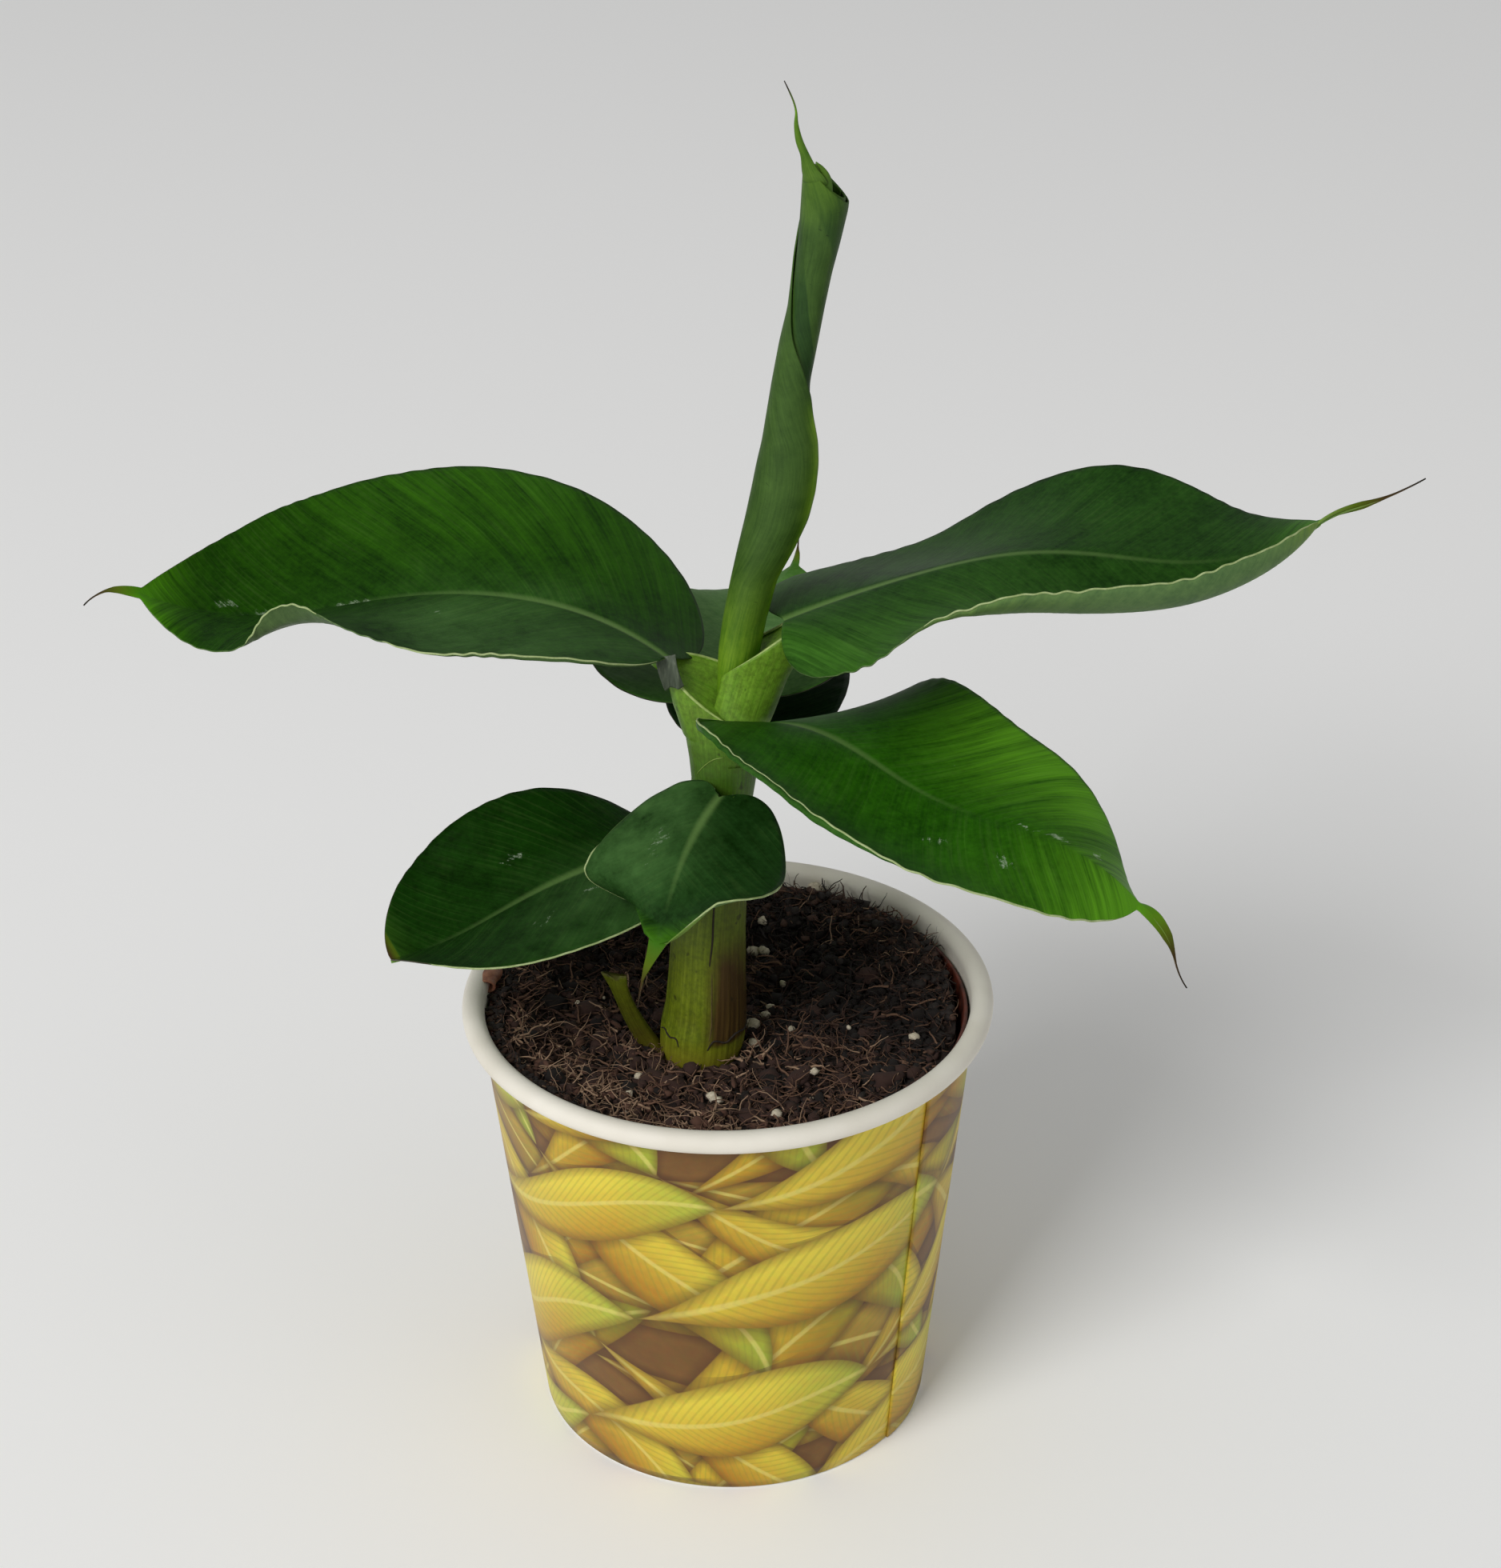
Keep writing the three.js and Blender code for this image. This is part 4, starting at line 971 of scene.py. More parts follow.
# %% Leaf values
LEAVES = {
    "leaf_upper_left": dict(
        root=(-12.8, -2, 210.6), length=137.1, width=44.5, blunt=0.52, taper=0.78,
        pitch=(19, -2, -10, 32), yaw=(142, 160, 177, 197), sweep=(-15, 7, 0),
        tilt_left=(19, -2, 14, -9), tilt_right=(-24, 18, 26, 24),
        curl_left=(-12, 31, -32), curl_right=(-7, -6, 21), hem_left=(120, 95, 30, 0, 0, 0, 0, 0),
        folds=[("left", 0.65, 0.1, 88)], glow=("right", 0.42, 0.34, 0.4), bloom_and_sheen=("left", 0.3, 0.4, 0.5),
        flat_tip=1,
        tail=dict(length=15, pitch=(26, 8, -26, -48), yaw=(196, 188, 182, 180), wide=2.2, twist=50, slim=1.8),
        stalk=dict(start=(-3.5, -1.5, 188), lead=9, reach=9, azimuth=175, wide=(7.5, 3.9), deep=(5, 2.6)),
        deep="#042200", light="#204b04", lime="#44800e", margins=("pale", "brown"), lean=(0.9, 1.0),
        ruffle=(0.2, 0.1), rib_reach=0.66, dust=0.5),
    "leaf_upper_right": dict(
        root=(14.9, 0.2, 218.8), length=126.6, width=41.3, blunt=0.49, taper=0.76,
        pitch=(19, 14, -3, 34), yaw=(10, -1, -11, 5), sweep=(-24, -4, 22),
        tilt_left=(3, -18, 10, -3), tilt_right=(9, -9, -26, -11),
        curl_left=(-19, 18, -27), curl_right=(-68, 12, 84, 132, 152), hem_right=(0, 0, 40, 30, 0, 0),
        glow=("right", 0.12, 0.4, 0.9), bloom_and_sheen=("left", 0.2, 0.3, 0.45), waist=("right", 0.34, 0.085, 0.14),
        tail=dict(length=26.5, pitch=(36, 17, 24, 32), yaw=(0, 0, 0, 0), wide=1.9, twist=200),
        stalk=dict(start=(5.2, -1, 195.5), lead=8, reach=9, azimuth=10, wide=(6.4, 7.2, 4.2),
                   deep=(6, 5, 2.8)),
        deep="#0a2804", light="#274f15", lime="#3f6f22", margins=("brown", "pale"), lean=(0.7, 1.0),
        ruffle=(0.1, 0.3), rib_reach=0.9, dust=0.4),
    "leaf_front_right": dict(
        root=(8.4, -7.3, 195.2), length=107.3, width=40.2, blunt=0.39, taper=0.71,
        pitch=(25, -15, -1, -48), yaw=(-41, -40, -32, -18), sweep=(-1, -13, 19),
        tilt_left=(-19, 2, 3, -26), tilt_right=(25, 0, -9, -10),
        curl_left=(-14, 0, -9), curl_right=(-7, 49, -29), hem_right=(60, 170, 200, 180, 60, 0, 0, 0),
        glow=("left", 0.68, 0.34, 1.3), bloom_and_sheen=("left", 0.1, 0.2, 0.5), flat_tip=1, tip_from=0.6,
        tail=dict(length=25, pitch=(-34, -58, -76, -58), yaw=(-18, -10, 0, 0), wide=2.4, twist=-62),
        stalk=dict(start=(2, -3, 181), lead=6, reach=6, azimuth=-40, wide=(4.5, 3.6), deep=(3, 2.4)),
        deep="#0a3200", light="#2b620a", lime="#55901a", margins=("brown", "pale"), lean=(0.9, 0.7),
        ruffle=(0.1, 0.28), rib_reach=0.62, dust=0.75),
    "leaf_front_small": dict(
        root=(-1, -16, 180.8), length=41.5, width=26.2, blunt=0.44, taper=0.18,
        pitch=(-10, -20, -43, -51), yaw=(242, 246, 246, 244), sweep=(-48, 2, -19),
        tilt_left=(-17, -17, 14, 40), tilt_right=(-6, -14, -15, -51),
        curl_left=(-4, 1, 28), curl_right=(0, 0, -23), hem_right=(0, 0, 40, 70, 0),
        tail=dict(length=17, pitch=(-50, -62, -76, -84), yaw=(236, 214, 204, 214), wide=3.0, twist=20,
                  slim=2.2),
        stalk=dict(start=(0.6, -5, 168), lead=6, reach=5, azimuth=250, wide=(4, 3), deep=(2.6, 2)),
        flat_tip=1, flat_neck=2.4, bloom_and_sheen=("right", 0.35, 0.5, 0.9),
        deep="#0a2404", light="#24481c", lime="#376512", margins=("pale", "pale"), lean=(0.7, 0.7),
        ruffle=(0.12, 0.2), rib_reach=0.85, dust=0.6),
    "leaf_lower_left": dict(
        root=(-15.8, 3.6, 155.2), length=71.7, width=28.8, blunt=0.42, taper=0.56,
        pitch=(8, -11, -20, -3), yaw=(205, 205, 203, 199), sweep=(-22, 8, 10),
        tilt_left=(-4, 0, 11, 25), tilt_right=(0, 19, 19, 24),
        curl_left=(-2, -9, 12), curl_right=(-3, 17, 6), tail=None, dry_tip=0.965,
        stalk=dict(start=(-5.5, -2, 142), lead=6, reach=6, azimuth=205, wide=(5, 3.2), deep=(3, 2.2)),
        bloom_and_sheen=("left", 0.1, 0.55, 0.55),
        deep="#041b00", light="#153c08", lime="#2c4e14", margins=("pale", "brown"), lean=(0.9, 0.7),
        ruffle=(0.05, 0.12), rib_reach=0.9, dust=0.8),
    "leaf_back_upper": dict(
        root=(0.5, 10, 193.3), length=82.3, width=34, blunt=0.39, taper=0.84,
        pitch=(8, -4, -5, 9), yaw=(96, 82, 70, 64), sweep=(-24, 11, 23),
        tilt_left=(12, 3, 0, -33), tilt_right=(11, 6, -1, -10),
        curl_left=(-3, 3, -19), curl_right=(0, -1, -4),
        tail=dict(length=8, pitch=(30, 60, 75, 80), yaw=(64, 64, 64, 64), wide=1.8, twist=60),
        stalk=dict(start=(-0.5, 4, 183), lead=6, reach=6, azimuth=95, wide=(5, 3.4), deep=(3, 2.3)),
        # Tones raised as painted light, to offset the shade of the leaves above it
        deep="#33621c", light="#5f8a46", lime="#3c6420", margins=("brown", "brown"), lean=(0.8, 0.8),
        ruffle=(0.1, 0.1), rib_reach=0.9, dust=0.3),
    "leaf_back_lower": dict(
        root=(4.2, 10.5, 181.8), length=69.3, width=22.6, blunt=0.43, taper=0.65,
        pitch=(9, -1, -11, -20), yaw=(79, 82, 84, 86), sweep=(-24, 8, 25),
        tilt_left=(3, 2, 1, 0), tilt_right=(-5, 0, 2, 2), curl_left=(3, 0, 0), curl_right=(-5, 3, 0),
        tail=dict(length=8, pitch=(-22, -40, -60, -75), yaw=(86, 86, 86, 86), wide=1.8, twist=30),
        stalk=dict(start=(1.6, 3.5, 170), lead=6, reach=5, azimuth=75, wide=(4.4, 3), deep=(2.8, 2.1)),
        # Nearly black tones: painted shade, for a leaf that lies low and deep under the others
        deep="#081a07", light="#14301a", lime="#1a3212", margins=("brown", "brown"), lean=(0.8, 0.8),
        ruffle=(0.1, 0.1), rib_reach=0.9, dust=0.2),
}
print("open leaves:", len(LEAVES))


# %% Midrib lines
FINE_STEPS = 480


def steered(start, length, pitch, yaw, steps=FINE_STEPS):
    s = np.linspace(0, 1, steps + 1)
    a, b = np.radians(smooth(pitch, s)), np.radians(smooth(yaw, s))
    ahead = np.stack([np.cos(a) * np.cos(b), np.cos(a) * np.sin(b), np.sin(a)], 1)
    walked = np.cumsum((ahead[1:] + ahead[:-1]) / 2, 0) * length / steps
    place = np.asarray(start, float) + np.vstack([np.zeros(3), walked])
    side = np.stack([np.sin(b), -np.cos(b), 0 * b], 1)
    return dict(s=s, place=place, ahead=ahead, side=side, up=np.cross(side, ahead))


def leaf_line(L):
    """The midrib from 0 to 1, and behind it the drip tip, up to its own share of the length."""
    line = steered(L["root"], L["length"], L["pitch"], L["yaw"])
    if not L["tail"]:
        return line, 1.0
    tail = L["tail"]
    more = steered(line["place"][-1], tail["length"], tail["pitch"], tail["yaw"], 80)
    more["s"] = 1 + more["s"] * tail["length"] / L["length"]
    return {key: np.concatenate([line[key], more[key][1:]]) for key in line}, more["s"][-1]


def on_line(line, what, s):
    return np.stack([np.interp(s, line["s"], line[what][:, k]) for k in range(3)], 1)


MIDRIBS = {name: leaf_line(L)[0] for name, L in LEAVES.items()}
ENDS = {name: leaf_line(L)[1] for name, L in LEAVES.items()}
print("longest leaf %.0f mm with its drip tip" % max(ENDS[name] * L["length"] for name, L in LEAVES.items()))


# %% The place of any point of a blade
def tail_share(name, s):
    return np.clip((s - 1) / max(ENDS[name] - 1, 1e-9), 0, 1) if ENDS[name] > 1 else np.zeros_like(s)


def half_width(name, s):
    L = LEAVES[name]
    peak = L["blunt"] / (L["blunt"] + L["taper"])
    t = np.clip(s, 1e-6, 1 - 1e-6)
    w = L["width"] * (t / peak) ** L["blunt"] * ((1 - t) / (1 - peak)) ** L["taper"]
    neck = 0.8 * L["tail"]["wide"] if L["tail"] else 1.4
    blade = np.maximum(np.hypot(w, neck * np.clip((s - 0.8) / 0.2, 0, 1) ** 2), 1.2)
    share = tail_share(name, s)
    slim = L["tail"].get("slim", 1) if L["tail"] else 1
    drip = 0.12 + (neck - 0.12) * (1 - share) ** slim * np.clip((0.72 - share) / 0.3, 0, 1)
    return np.where(s > 1, drip, blade)


def bend(name, s, q, left):
    """How far the blade has turned up, in radians, at the share q of the way to its margin."""
    L = LEAVES[name]
    angle = np.zeros_like(s)
    for hand, here in (("left", left), ("right", ~left)):
        curl = smooth(L["curl_" + hand], s)
        hem = smooth(L.get("hem_" + hand, (0, 0)), s) * np.clip((q - 0.94) / 0.06, 0, 1)
        for side, centre, spread, extra in L.get("folds", []):
            if side == hand:
                hem = hem + extra * np.exp(-(((s - centre) / spread) ** 2)) * np.clip((q - 0.86) / 0.09, 0, 1)
        angle = np.where(here, smooth(L["tilt_" + hand], s) + curl * q * q + hem, angle)
    twist = L["tail"]["twist"] if L["tail"] else 0
    drip = tail_share(name, s)
    early = np.clip(4 * drip, 0, 1) if L.get("flat_tip") else drip
    if L.get("flat_neck"):
        # The part next to the midrib lies flat before the tip, so that the neck runs on evenly
        off = q * half_width(name, s)
        near = np.clip((s - 0.9) / 0.09, 0, 1) * np.clip((L["flat_neck"] + 1.5 - off) / 1.5, 0, 1)
        early = np.where(s > 1, 1.0, near)
    turn = np.where(left, -1, 1) * twist * early
    return np.radians(angle * (1 - early) + turn)


def blade_points(name, s, v):
    """Points of the blade at s from base to tip and v from the left margin to the right one."""
    L, line = LEAVES[name], MIDRIBS[name]
    left = v < 0
    sweep = np.radians(smooth(L["sweep"], s)) * (1 - tail_share(name, s))
    w, u = half_width(name, s), np.abs(v)
    side, centre, spread, depth = L.get("waist", ("left", 0, 1, 0))
    w = w * (1 - depth * np.exp(-(((s - centre) / spread) ** 2)) * (left == (side == "left")))
    out, rise = np.zeros_like(s), np.zeros_like(s)
    slices = 24
    for k in range(slices):
        angle = bend(name, s, (k + 0.5) / slices * u, left)
        out += np.cos(angle) * u / slices
        rise += np.sin(angle) * u / slices
    # Fine waves run along the margin, never quite alike
    run = s * L["length"]
    wave = np.sin(run / 0.75 + 1.3 * np.sin(run / 5.1)) * (0.6 + 0.4 * np.sin(run / 3.7 + v))
    wave = np.where(left, L["ruffle"][0], L["ruffle"][1]) * u**8 * wave
    lobe = np.where(left, L["ruffle"][0], L["ruffle"][1]) * u**4 * np.sin(run / 3.3 + 2 * v)
    rise = rise + (wave + lobe) * np.clip(8 * s, 0, 1) * np.clip(6 * (1 - s), 0, 1) / w
    across = (np.sign(v) * w * np.cos(sweep) * out)[:, None] * on_line(line, "side", s)
    above = (w * np.cos(sweep) * rise)[:, None] * on_line(line, "up", s)
    forward = (w * np.sin(sweep) * u)[:, None] * on_line(line, "ahead", s)
    return on_line(line, "place", s) + forward + across + above


def blade_normals(name, s, v):
    """Unit vectors that stand on the blade's upper face."""
    step, end = 0.004, ENDS[name]
    ds = blade_points(name, np.clip(s + step, 0, end), v) - blade_points(name, np.clip(s - step, 0, end), v)
    dv = blade_points(name, s, np.clip(v + step, -1, 1)) - blade_points(name, s, np.clip(v - step, -1, 1))
    return unit(np.cross(dv, ds))


print("widest leaf %.0f mm" % max(2 * L["width"] for L in LEAVES.values()))

# %% [markdown]
# ## Leaf finish
# The upper face of a banana leaf is a satin, waxy skin: parallel side veins run from the midrib to
# the margin, with lighter and darker bands between them, fine enough to read as streaks. They are
# drawn in the blade's own millimetres, stretched noise for the streaks and a wave for the veins.
# The attribute "tint" says where the leaf is new growth and lime green, and where a patch on the side turned
# to the light is painted lime as painted light. The lower face is paler and duller, with the same veins.

# %% Blade materials
VEIN_GAP_MM = 2.2
STREAK_MM = 0.7


def blade_material(name, deep, light, lime, dust, rib_reach, rib_tint="#69894a"):
    material, tree, skin = new_material(name)
    along, across, edge, young_and_glow, dusty, bloom_and_sheen = (
        add(tree, "Attribute", attribute_name=label).outputs["Fac"]
        for label in ("along", "across", "edge", "tint", "dust", "bloom_and_sheen"))
    squeezed = add(tree, "Math", {0: across, 1: 0.05}, operation="MULTIPLY")
    streaky = add(tree, "CombineXYZ", {"X": along, "Y": squeezed})
    where = add(tree, "TexCoord").outputs["Object"]
    streak, bands, scuff, cloud, grain, mottle, flake = (
        add(tree, "TexNoise", {"Vector": place, "Scale": scale, "Detail": detail, "Roughness": rough})
        for place, scale, detail, rough in (
            (streaky, 1 / STREAK_MM, 5.0, 0.65), (streaky, 0.3, 3.0, 0.6), (streaky, 0.5, 7.0, 0.78),
            (where, 42.0, 5.0, 0.65), (where, 900.0, 2.0, 0.5), (where, 260.0, 4.0, 0.7),
            (where, 330.0, 4.0, 0.75)))
    shade = 0.0
    for pattern, share in ((streak, 0.3), (bands, 0.5), (cloud, 0.7), (mottle, 0.6), (grain, 0.45)):
        shade = add(tree, "Math", {0: pattern, 1: share, 2: shade}, operation="MULTIPLY_ADD")
    green = wash(tree, deep, light, shade, 0.98, 1.58)
    # Waxy coat and painted sheen: a patchy grey-green veil, stronger where the leaf is old, and laid on the
    # side turned to the light as painted sheen
    film_and_sheen = add(tree, "Math", {0: cloud, 1: 4.0, 2: -1.75}, operation="MULTIPLY_ADD")
    film_and_sheen = add(tree, "Math", {0: mottle, 1: 1.2, 2: film_and_sheen}, operation="MULTIPLY_ADD")
    film_and_sheen = add(tree, "Math", {0: film_and_sheen, 1: bloom_and_sheen}, operation="MULTIPLY", use_clamp=True)
    green = wash(tree, green, "#456a36", film_and_sheen, 0.0, 1.0, 0.8)
    # Lime where the blade is new growth, and on the patches painted lime as painted light, broken up by the
    # streaks
    glow = add(tree, "Math", {0: streak, 1: 1.6, 2: -1.15}, operation="MULTIPLY_ADD")
    glow = add(tree, "Math", {0: bands, 1: 1.8, 2: glow}, operation="MULTIPLY_ADD")
    glow = add(tree, "Math", {0: glow, 1: young_and_glow}, operation="MULTIPLY", use_clamp=True)
    green = add(tree, "Mix", {0: glow, 6: green, 7: lime}, data_type="RGBA")
    green = wash(tree, green, lime, young_and_glow, 1.0, 2.0, 0.85)
    # Side veins: faint pale lines at uneven steps
    wave = add(tree, "Math", {0: along, 1: 2 * math.pi / VEIN_GAP_MM}, operation="MULTIPLY")
    wave = add(tree, "Math", {0: bands, 1: 22.0, 2: wave}, operation="MULTIPLY_ADD")
    wave = add(tree, "Math", {0: wave}, operation="SINE")
    vein = add(tree, "MapRange", {"Value": wave, "From Min": 0.4, "From Max": 1.0, "To Max": 0.05})
    seen = add(tree, "MapRange", {"Value": cloud, "From Min": 0.42, "From Max": 0.62})
    vein = add(tree, "Math", {0: vein, 1: seen}, operation="MULTIPLY")
    green = add(tree, "Mix", {0: vein, 6: green, 7: "#7a9a52"}, data_type="RGBA")
    # Dusty scuffs along the veins, and powder where the leaf has been rubbed
    scuffed = add(tree, "Math", {0: dusty, 1: 0.3, 2: scuff}, operation="MULTIPLY_ADD")
    scuffed = add(tree, "Math", {0: flake, 1: 0.9, 2: scuffed}, operation="MULTIPLY_ADD")
    green = wash(tree, green, "#aebfa4", scuffed, 1.24, 1.4, dust)
    # The midrib is paler than the blade and fades towards the tip
    close = add(tree, "Math", {0: across}, operation="ABSOLUTE")
    rib_wide = add(tree, "MapRange", {"Value": edge, "From Max": 0.7 * rib_reach, "To Min": 1.5,
                                      "To Max": 0.7})
    rib = add(tree, "Math", {0: close, 1: rib_wide}, operation="DIVIDE")
    rib = add(tree, "MapRange", {"Value": rib, "From Min": 1.6, "From Max": 0.1, "To Max": 0.7},
              interpolation_type="SMOOTHSTEP")
    fade = add(tree, "MapRange", {"Value": edge, "From Min": rib_reach, "From Max": 0.2 * rib_reach})
    rib = add(tree, "Math", {0: rib, 1: fade}, operation="MULTIPLY")
    green = add(tree, "Mix", {0: rib, 6: green, 7: rib_tint}, data_type="RGBA")
    # The drip tip dries from lime to brown
    dryness = add(tree, "Math", {0: young_and_glow, 1: -2.0}, operation="ADD")
    drip = add(tree, "ValToRGB", {"Fac": dryness},
               stops=[(0.0, lime), (0.35, "#4d5f14"), (0.62, "#3d2c16"), (1.0, "#120d09")])
    green = wash(tree, green, drip, young_and_glow, 2.0, 2.1)
    relief = add(tree, "Math", {0: wave, 1: 0.12, 2: streak}, operation="MULTIPLY_ADD")
    relief = add(tree, "Math", {0: mottle, 1: 0.8, 2: relief}, operation="MULTIPLY_ADD")
    bump = add(tree, "Bump", {"Height": relief, "Strength": 0.3, "Distance": 0.00025})
    gloss = add(tree, "MapRange", {"Value": cloud, "To Min": 0.42, "To Max": 0.6})
    fill(tree, skin, {"Base Color": green, "Normal": bump, "Roughness": gloss, "Specular IOR Level": 0.11,
                      "Specular Tint": "#a8c890"})
    return material


# The lower face has little wax: it looks paler and duller, and its rib stands out light
UNDERSIDE_RIB = 1.2
UNDERSIDES = {kind: blade_material("banana leaf, " + kind, deep, light, lime, dust, UNDERSIDE_RIB, rib)
              for kind, deep, light, lime, dust, rib in (
                  ("underside", "#44603a", "#64804c", "#6d8a40", 0.12, "#86a05c"),
                  ("deep green underside in painted shade", "#1c4410", "#3a6424", "#5f8a28", 0.1, "#6f9a3c"),
                  ("dull underside in painted shade", "#36482a", "#4c6038", "#55702e", 0.1, "#6f8a4c"))}
# The deep green and dull copies of the lower face are darker as painted shade, for the front right leaf's
# rolled margin and the upper left leaf's fold
UNDER_KIND = {"leaf_front_right": "deep green underside in painted shade", "leaf_upper_left": "dull underside in painted shade"}
print("undersides:", sorted(UNDERSIDES))

# %% [markdown]
# ## Blades
# Each blade is a sheet that solidify makes three tenths of a millimetre thick, with the underside
# material on its lower face. A shallow groove runs along the midrib, and low ridges follow the
# side veins, in the mesh itself so that the light catches them. A thin cord of margin closes each
# edge, pale where the edge rolls up and brown where it has dried.

# %% Blade values
BLADE_THICK = 0.32
GROOVE_DEEP = 0.5
RIDGE_HIGH = 0.015
RIDGE = {"leaf_lower_left": 0.02}
# A margin that rolls up shows its pale lower face, and one that has dried is a thin brown line
margin_materials = {
    "pale": mottled_material("leaf margin, pale", "#86995c", "#a5b47e", 1.6, 0.5),
    "green": mottled_material("leaf margin, green", "#35501f", "#567236", 1.6, 0.5),
    "brown": mottled_material("leaf margin, dried brown", "#1f2210", "#3b361c", 1.6, 0.6),
}
# Rubbed spots: share of the length, mm from the midrib, spread along it and reach across it
DUSTY = {"leaf_front_right": [(0.69, -1, 0.05, 1.3), (0.78, -2, 0.05, 1.5), (0.87, -4, 0.02, 3.0),
                              (0.6, 14, 0.03, 2), (0.72, 13, 0.03, 2.5)],
         "leaf_upper_left": [(0.6, 0, 0.08, 1.2), (0.75, 0, 0.08, 1.5), (0.84, 3, 0.03, 2),
                             (0.42, -11, 0.02, 3)],
         "leaf_lower_left": [(0.3, -9, 0.06, 2), (0.15, 8, 0.05, 2), (0.5, -14, 0.05, 2),
                             (0.45, 12, 0.06, 2)],
         "leaf_front_small": [(0.4, 9, 0.12, 3)]}
print("margin finishes:", sorted(margin_materials))


# %% How a blade is made
def blade_marks(name, s, v):
    L = LEAVES[name]
    w = half_width(name, s)
    lean = np.where(v < 0, L["lean"][0], L["lean"][1])
    far = np.abs(v) * w
    along = s * L["length"] - lean * far * (1 - 0.004 * far)
    start = L.get("tip_from", 0.86)
    tip = np.clip((s - start) / (1 - start), 0, 1) ** 2
    # A patch on the side turned to the light is painted lime: painted light, sharing the tint with the new
    # growth at the tip
    hand, centre, spread, strength = L.get("glow", ("left", 0.5, 1, 0))
    outward = -v if hand == "left" else v
    lit = np.clip(1.3 * outward, 0, 1) * np.clip(1.3 - np.abs(s - centre) / spread, 0, 1)
    young_and_glow = np.maximum(strength * lit, 2 * tip)
    young_and_glow = np.where(s > 1, 2 + tail_share(name, s), np.minimum(young_and_glow, 2))
    if L.get("dry_tip"):
        young_and_glow = np.where(s > L["dry_tip"], 2.2 + 0.45 * (s - L["dry_tip"]) / (1 - L["dry_tip"]), young_and_glow)
    dust = np.zeros_like(s)
    for centre, across, spread, reach in DUSTY.get(name, []):
        dust += np.exp(-(((s - centre) / spread) ** 2) - ((v * w - across) / reach) ** 2)
    # The waxy veil is laid mostly on the side turned to the light, so it is partly painted sheen
    hand, centre, spread, strength = L.get("bloom_and_sheen", ("left", 0.5, 1, 0.2))
    outward = -v if hand == "left" else v
    bloom_and_sheen = strength * np.clip(0.45 + 1.2 * outward, 0, 1) * np.clip(1.2 - np.abs(s - centre) / spread, 0, 1)
    return along, v * w, s, young_and_glow, dust, bloom_and_sheen * np.clip(12 * (1 - s), 0, 1)


def make_blade(name):
    L, end = LEAVES[name], ENDS[name]

    def place(s, v):
        s = s * end
        along, across, edge, tint, dust, bloom_and_sheen = blade_marks(name, s, v)
        normal = blade_normals(name, s, v)
        groove = -GROOVE_DEEP * np.exp(-(across / 1.1) ** 2) * np.clip(1 - s, 0, 1) ** 0.7
        inner = np.clip(np.abs(across) / 3, 0, 1) * np.clip((1 - np.abs(v)) * 6, 0, 1) * (s < 1)
        waves = np.sin(2 * math.pi * along / VEIN_GAP_MM + 2 * np.sin(along / 7))
        ridges = RIDGE.get(name, RIDGE_HIGH) * waves * inner
        points = blade_points(name, s, v) + normal * (groove + ridges)[:, None]
        return points, np.stack([along, across, edge, tint, dust, bloom_and_sheen], 1)

    rows = int(L["length"] * end * 2.3)
    columns = int(L["width"] * 1.35)
    blade = sheet(name + "_blade", rows, columns - columns % 2, place, turned=True)
    skin = blade.modifiers.new("leaf thickness", "SOLIDIFY")
    skin.thickness = BLADE_THICK * MM
    skin.offset = 0
    skin.material_offset = 1
    skin.material_offset_rim = 1
    upper = blade_material("banana leaf, upper face, " + name[5:].replace("_", " "),
                           L["deep"], L["light"], L["lime"], L["dust"], L["rib_reach"])
    under = UNDERSIDES[UNDER_KIND.get(name, "underside")]
    return keep(blade, "green_leaf", [name], upper, under)


print("blade thickness %.2f mm" % BLADE_THICK)

# %% Blades and their margins
# Stretches of the margin from share to share of the leaf, where it isn't the same all the way
MARGIN_START, MARGIN_END = 0.004, 0.998
STRETCHES = {
    ("leaf_upper_left", 0): [(MARGIN_START, 0.4, "pale"), (0.4, 0.53, "green"), (0.53, 0.77, "pale"),
                             (0.77, MARGIN_END, "green")],
    ("leaf_upper_right", 1): [(MARGIN_START, 0.32, "green"), (0.32, MARGIN_END, "pale")],
    ("leaf_front_small", 0): [(MARGIN_START, 0.5, "green"), (0.5, MARGIN_END, "pale")],
    ("leaf_front_small", 1): [(MARGIN_START, 0.45, "green"), (0.45, MARGIN_END, "pale")],
    ("leaf_lower_left", 0): [(MARGIN_START, 0.86, "pale"), (0.86, MARGIN_END, "brown")],
}


def make_margin(name, hand, first, last, kind):
    L = LEAVES[name]
    v = -1.0 if hand == 0 else 1.0
    steps = np.linspace(first, last, int(2.4 * L["length"] * (last - first)) + 6)
    edge = np.full_like(steps, v)
    centres = blade_points(name, steps, edge)
    upward = blade_normals(name, steps, edge)
    ahead = unit(np.gradient(centres, axis=0))
    side = unit(np.cross(ahead, upward))
    thick = 0.25 if kind == "pale" else 0.18

    def reach(s, f):
        size = thick * (0.4 + 0.6 * np.clip(12 * s * (1 - s), 0, 1))
        return size * np.cos(f), size * np.sin(f)

    label = "%s_margin_%s_%02d" % (name, ("left", "right")[hand], round(100 * first))
    piece = tube(label, (centres, side, upward), 6, reach, round_marks)
    return keep(piece, "green_leaf", [name], margin_materials[kind])


for name in LEAVES:
    blade = make_blade(name)
    for hand in (0, 1):
        whole = [(MARGIN_START, MARGIN_END, LEAVES[name]["margins"][hand])]
        for first, last, kind in STRETCHES.get((name, hand), whole):
            make_margin(name, hand, first, last, kind)
    print(name, "blade faces:", len(blade.data.polygons))

# %% [markdown]
# ## Stalks and midribs
# The stalk of a banana leaf is channelled: a thick U in section, open above, whose two edges run
# into the two halves of the blade. Below the blade it goes on as a round keel that thins to the
# tip and ends in a drawn-out thread, dry and brown at its end. One tube makes all of it, because
# it is one organ: its section changes from U to keel to thread along the way. The two top leaves
# still stand in their sheaths, so their tubes start at the keel.

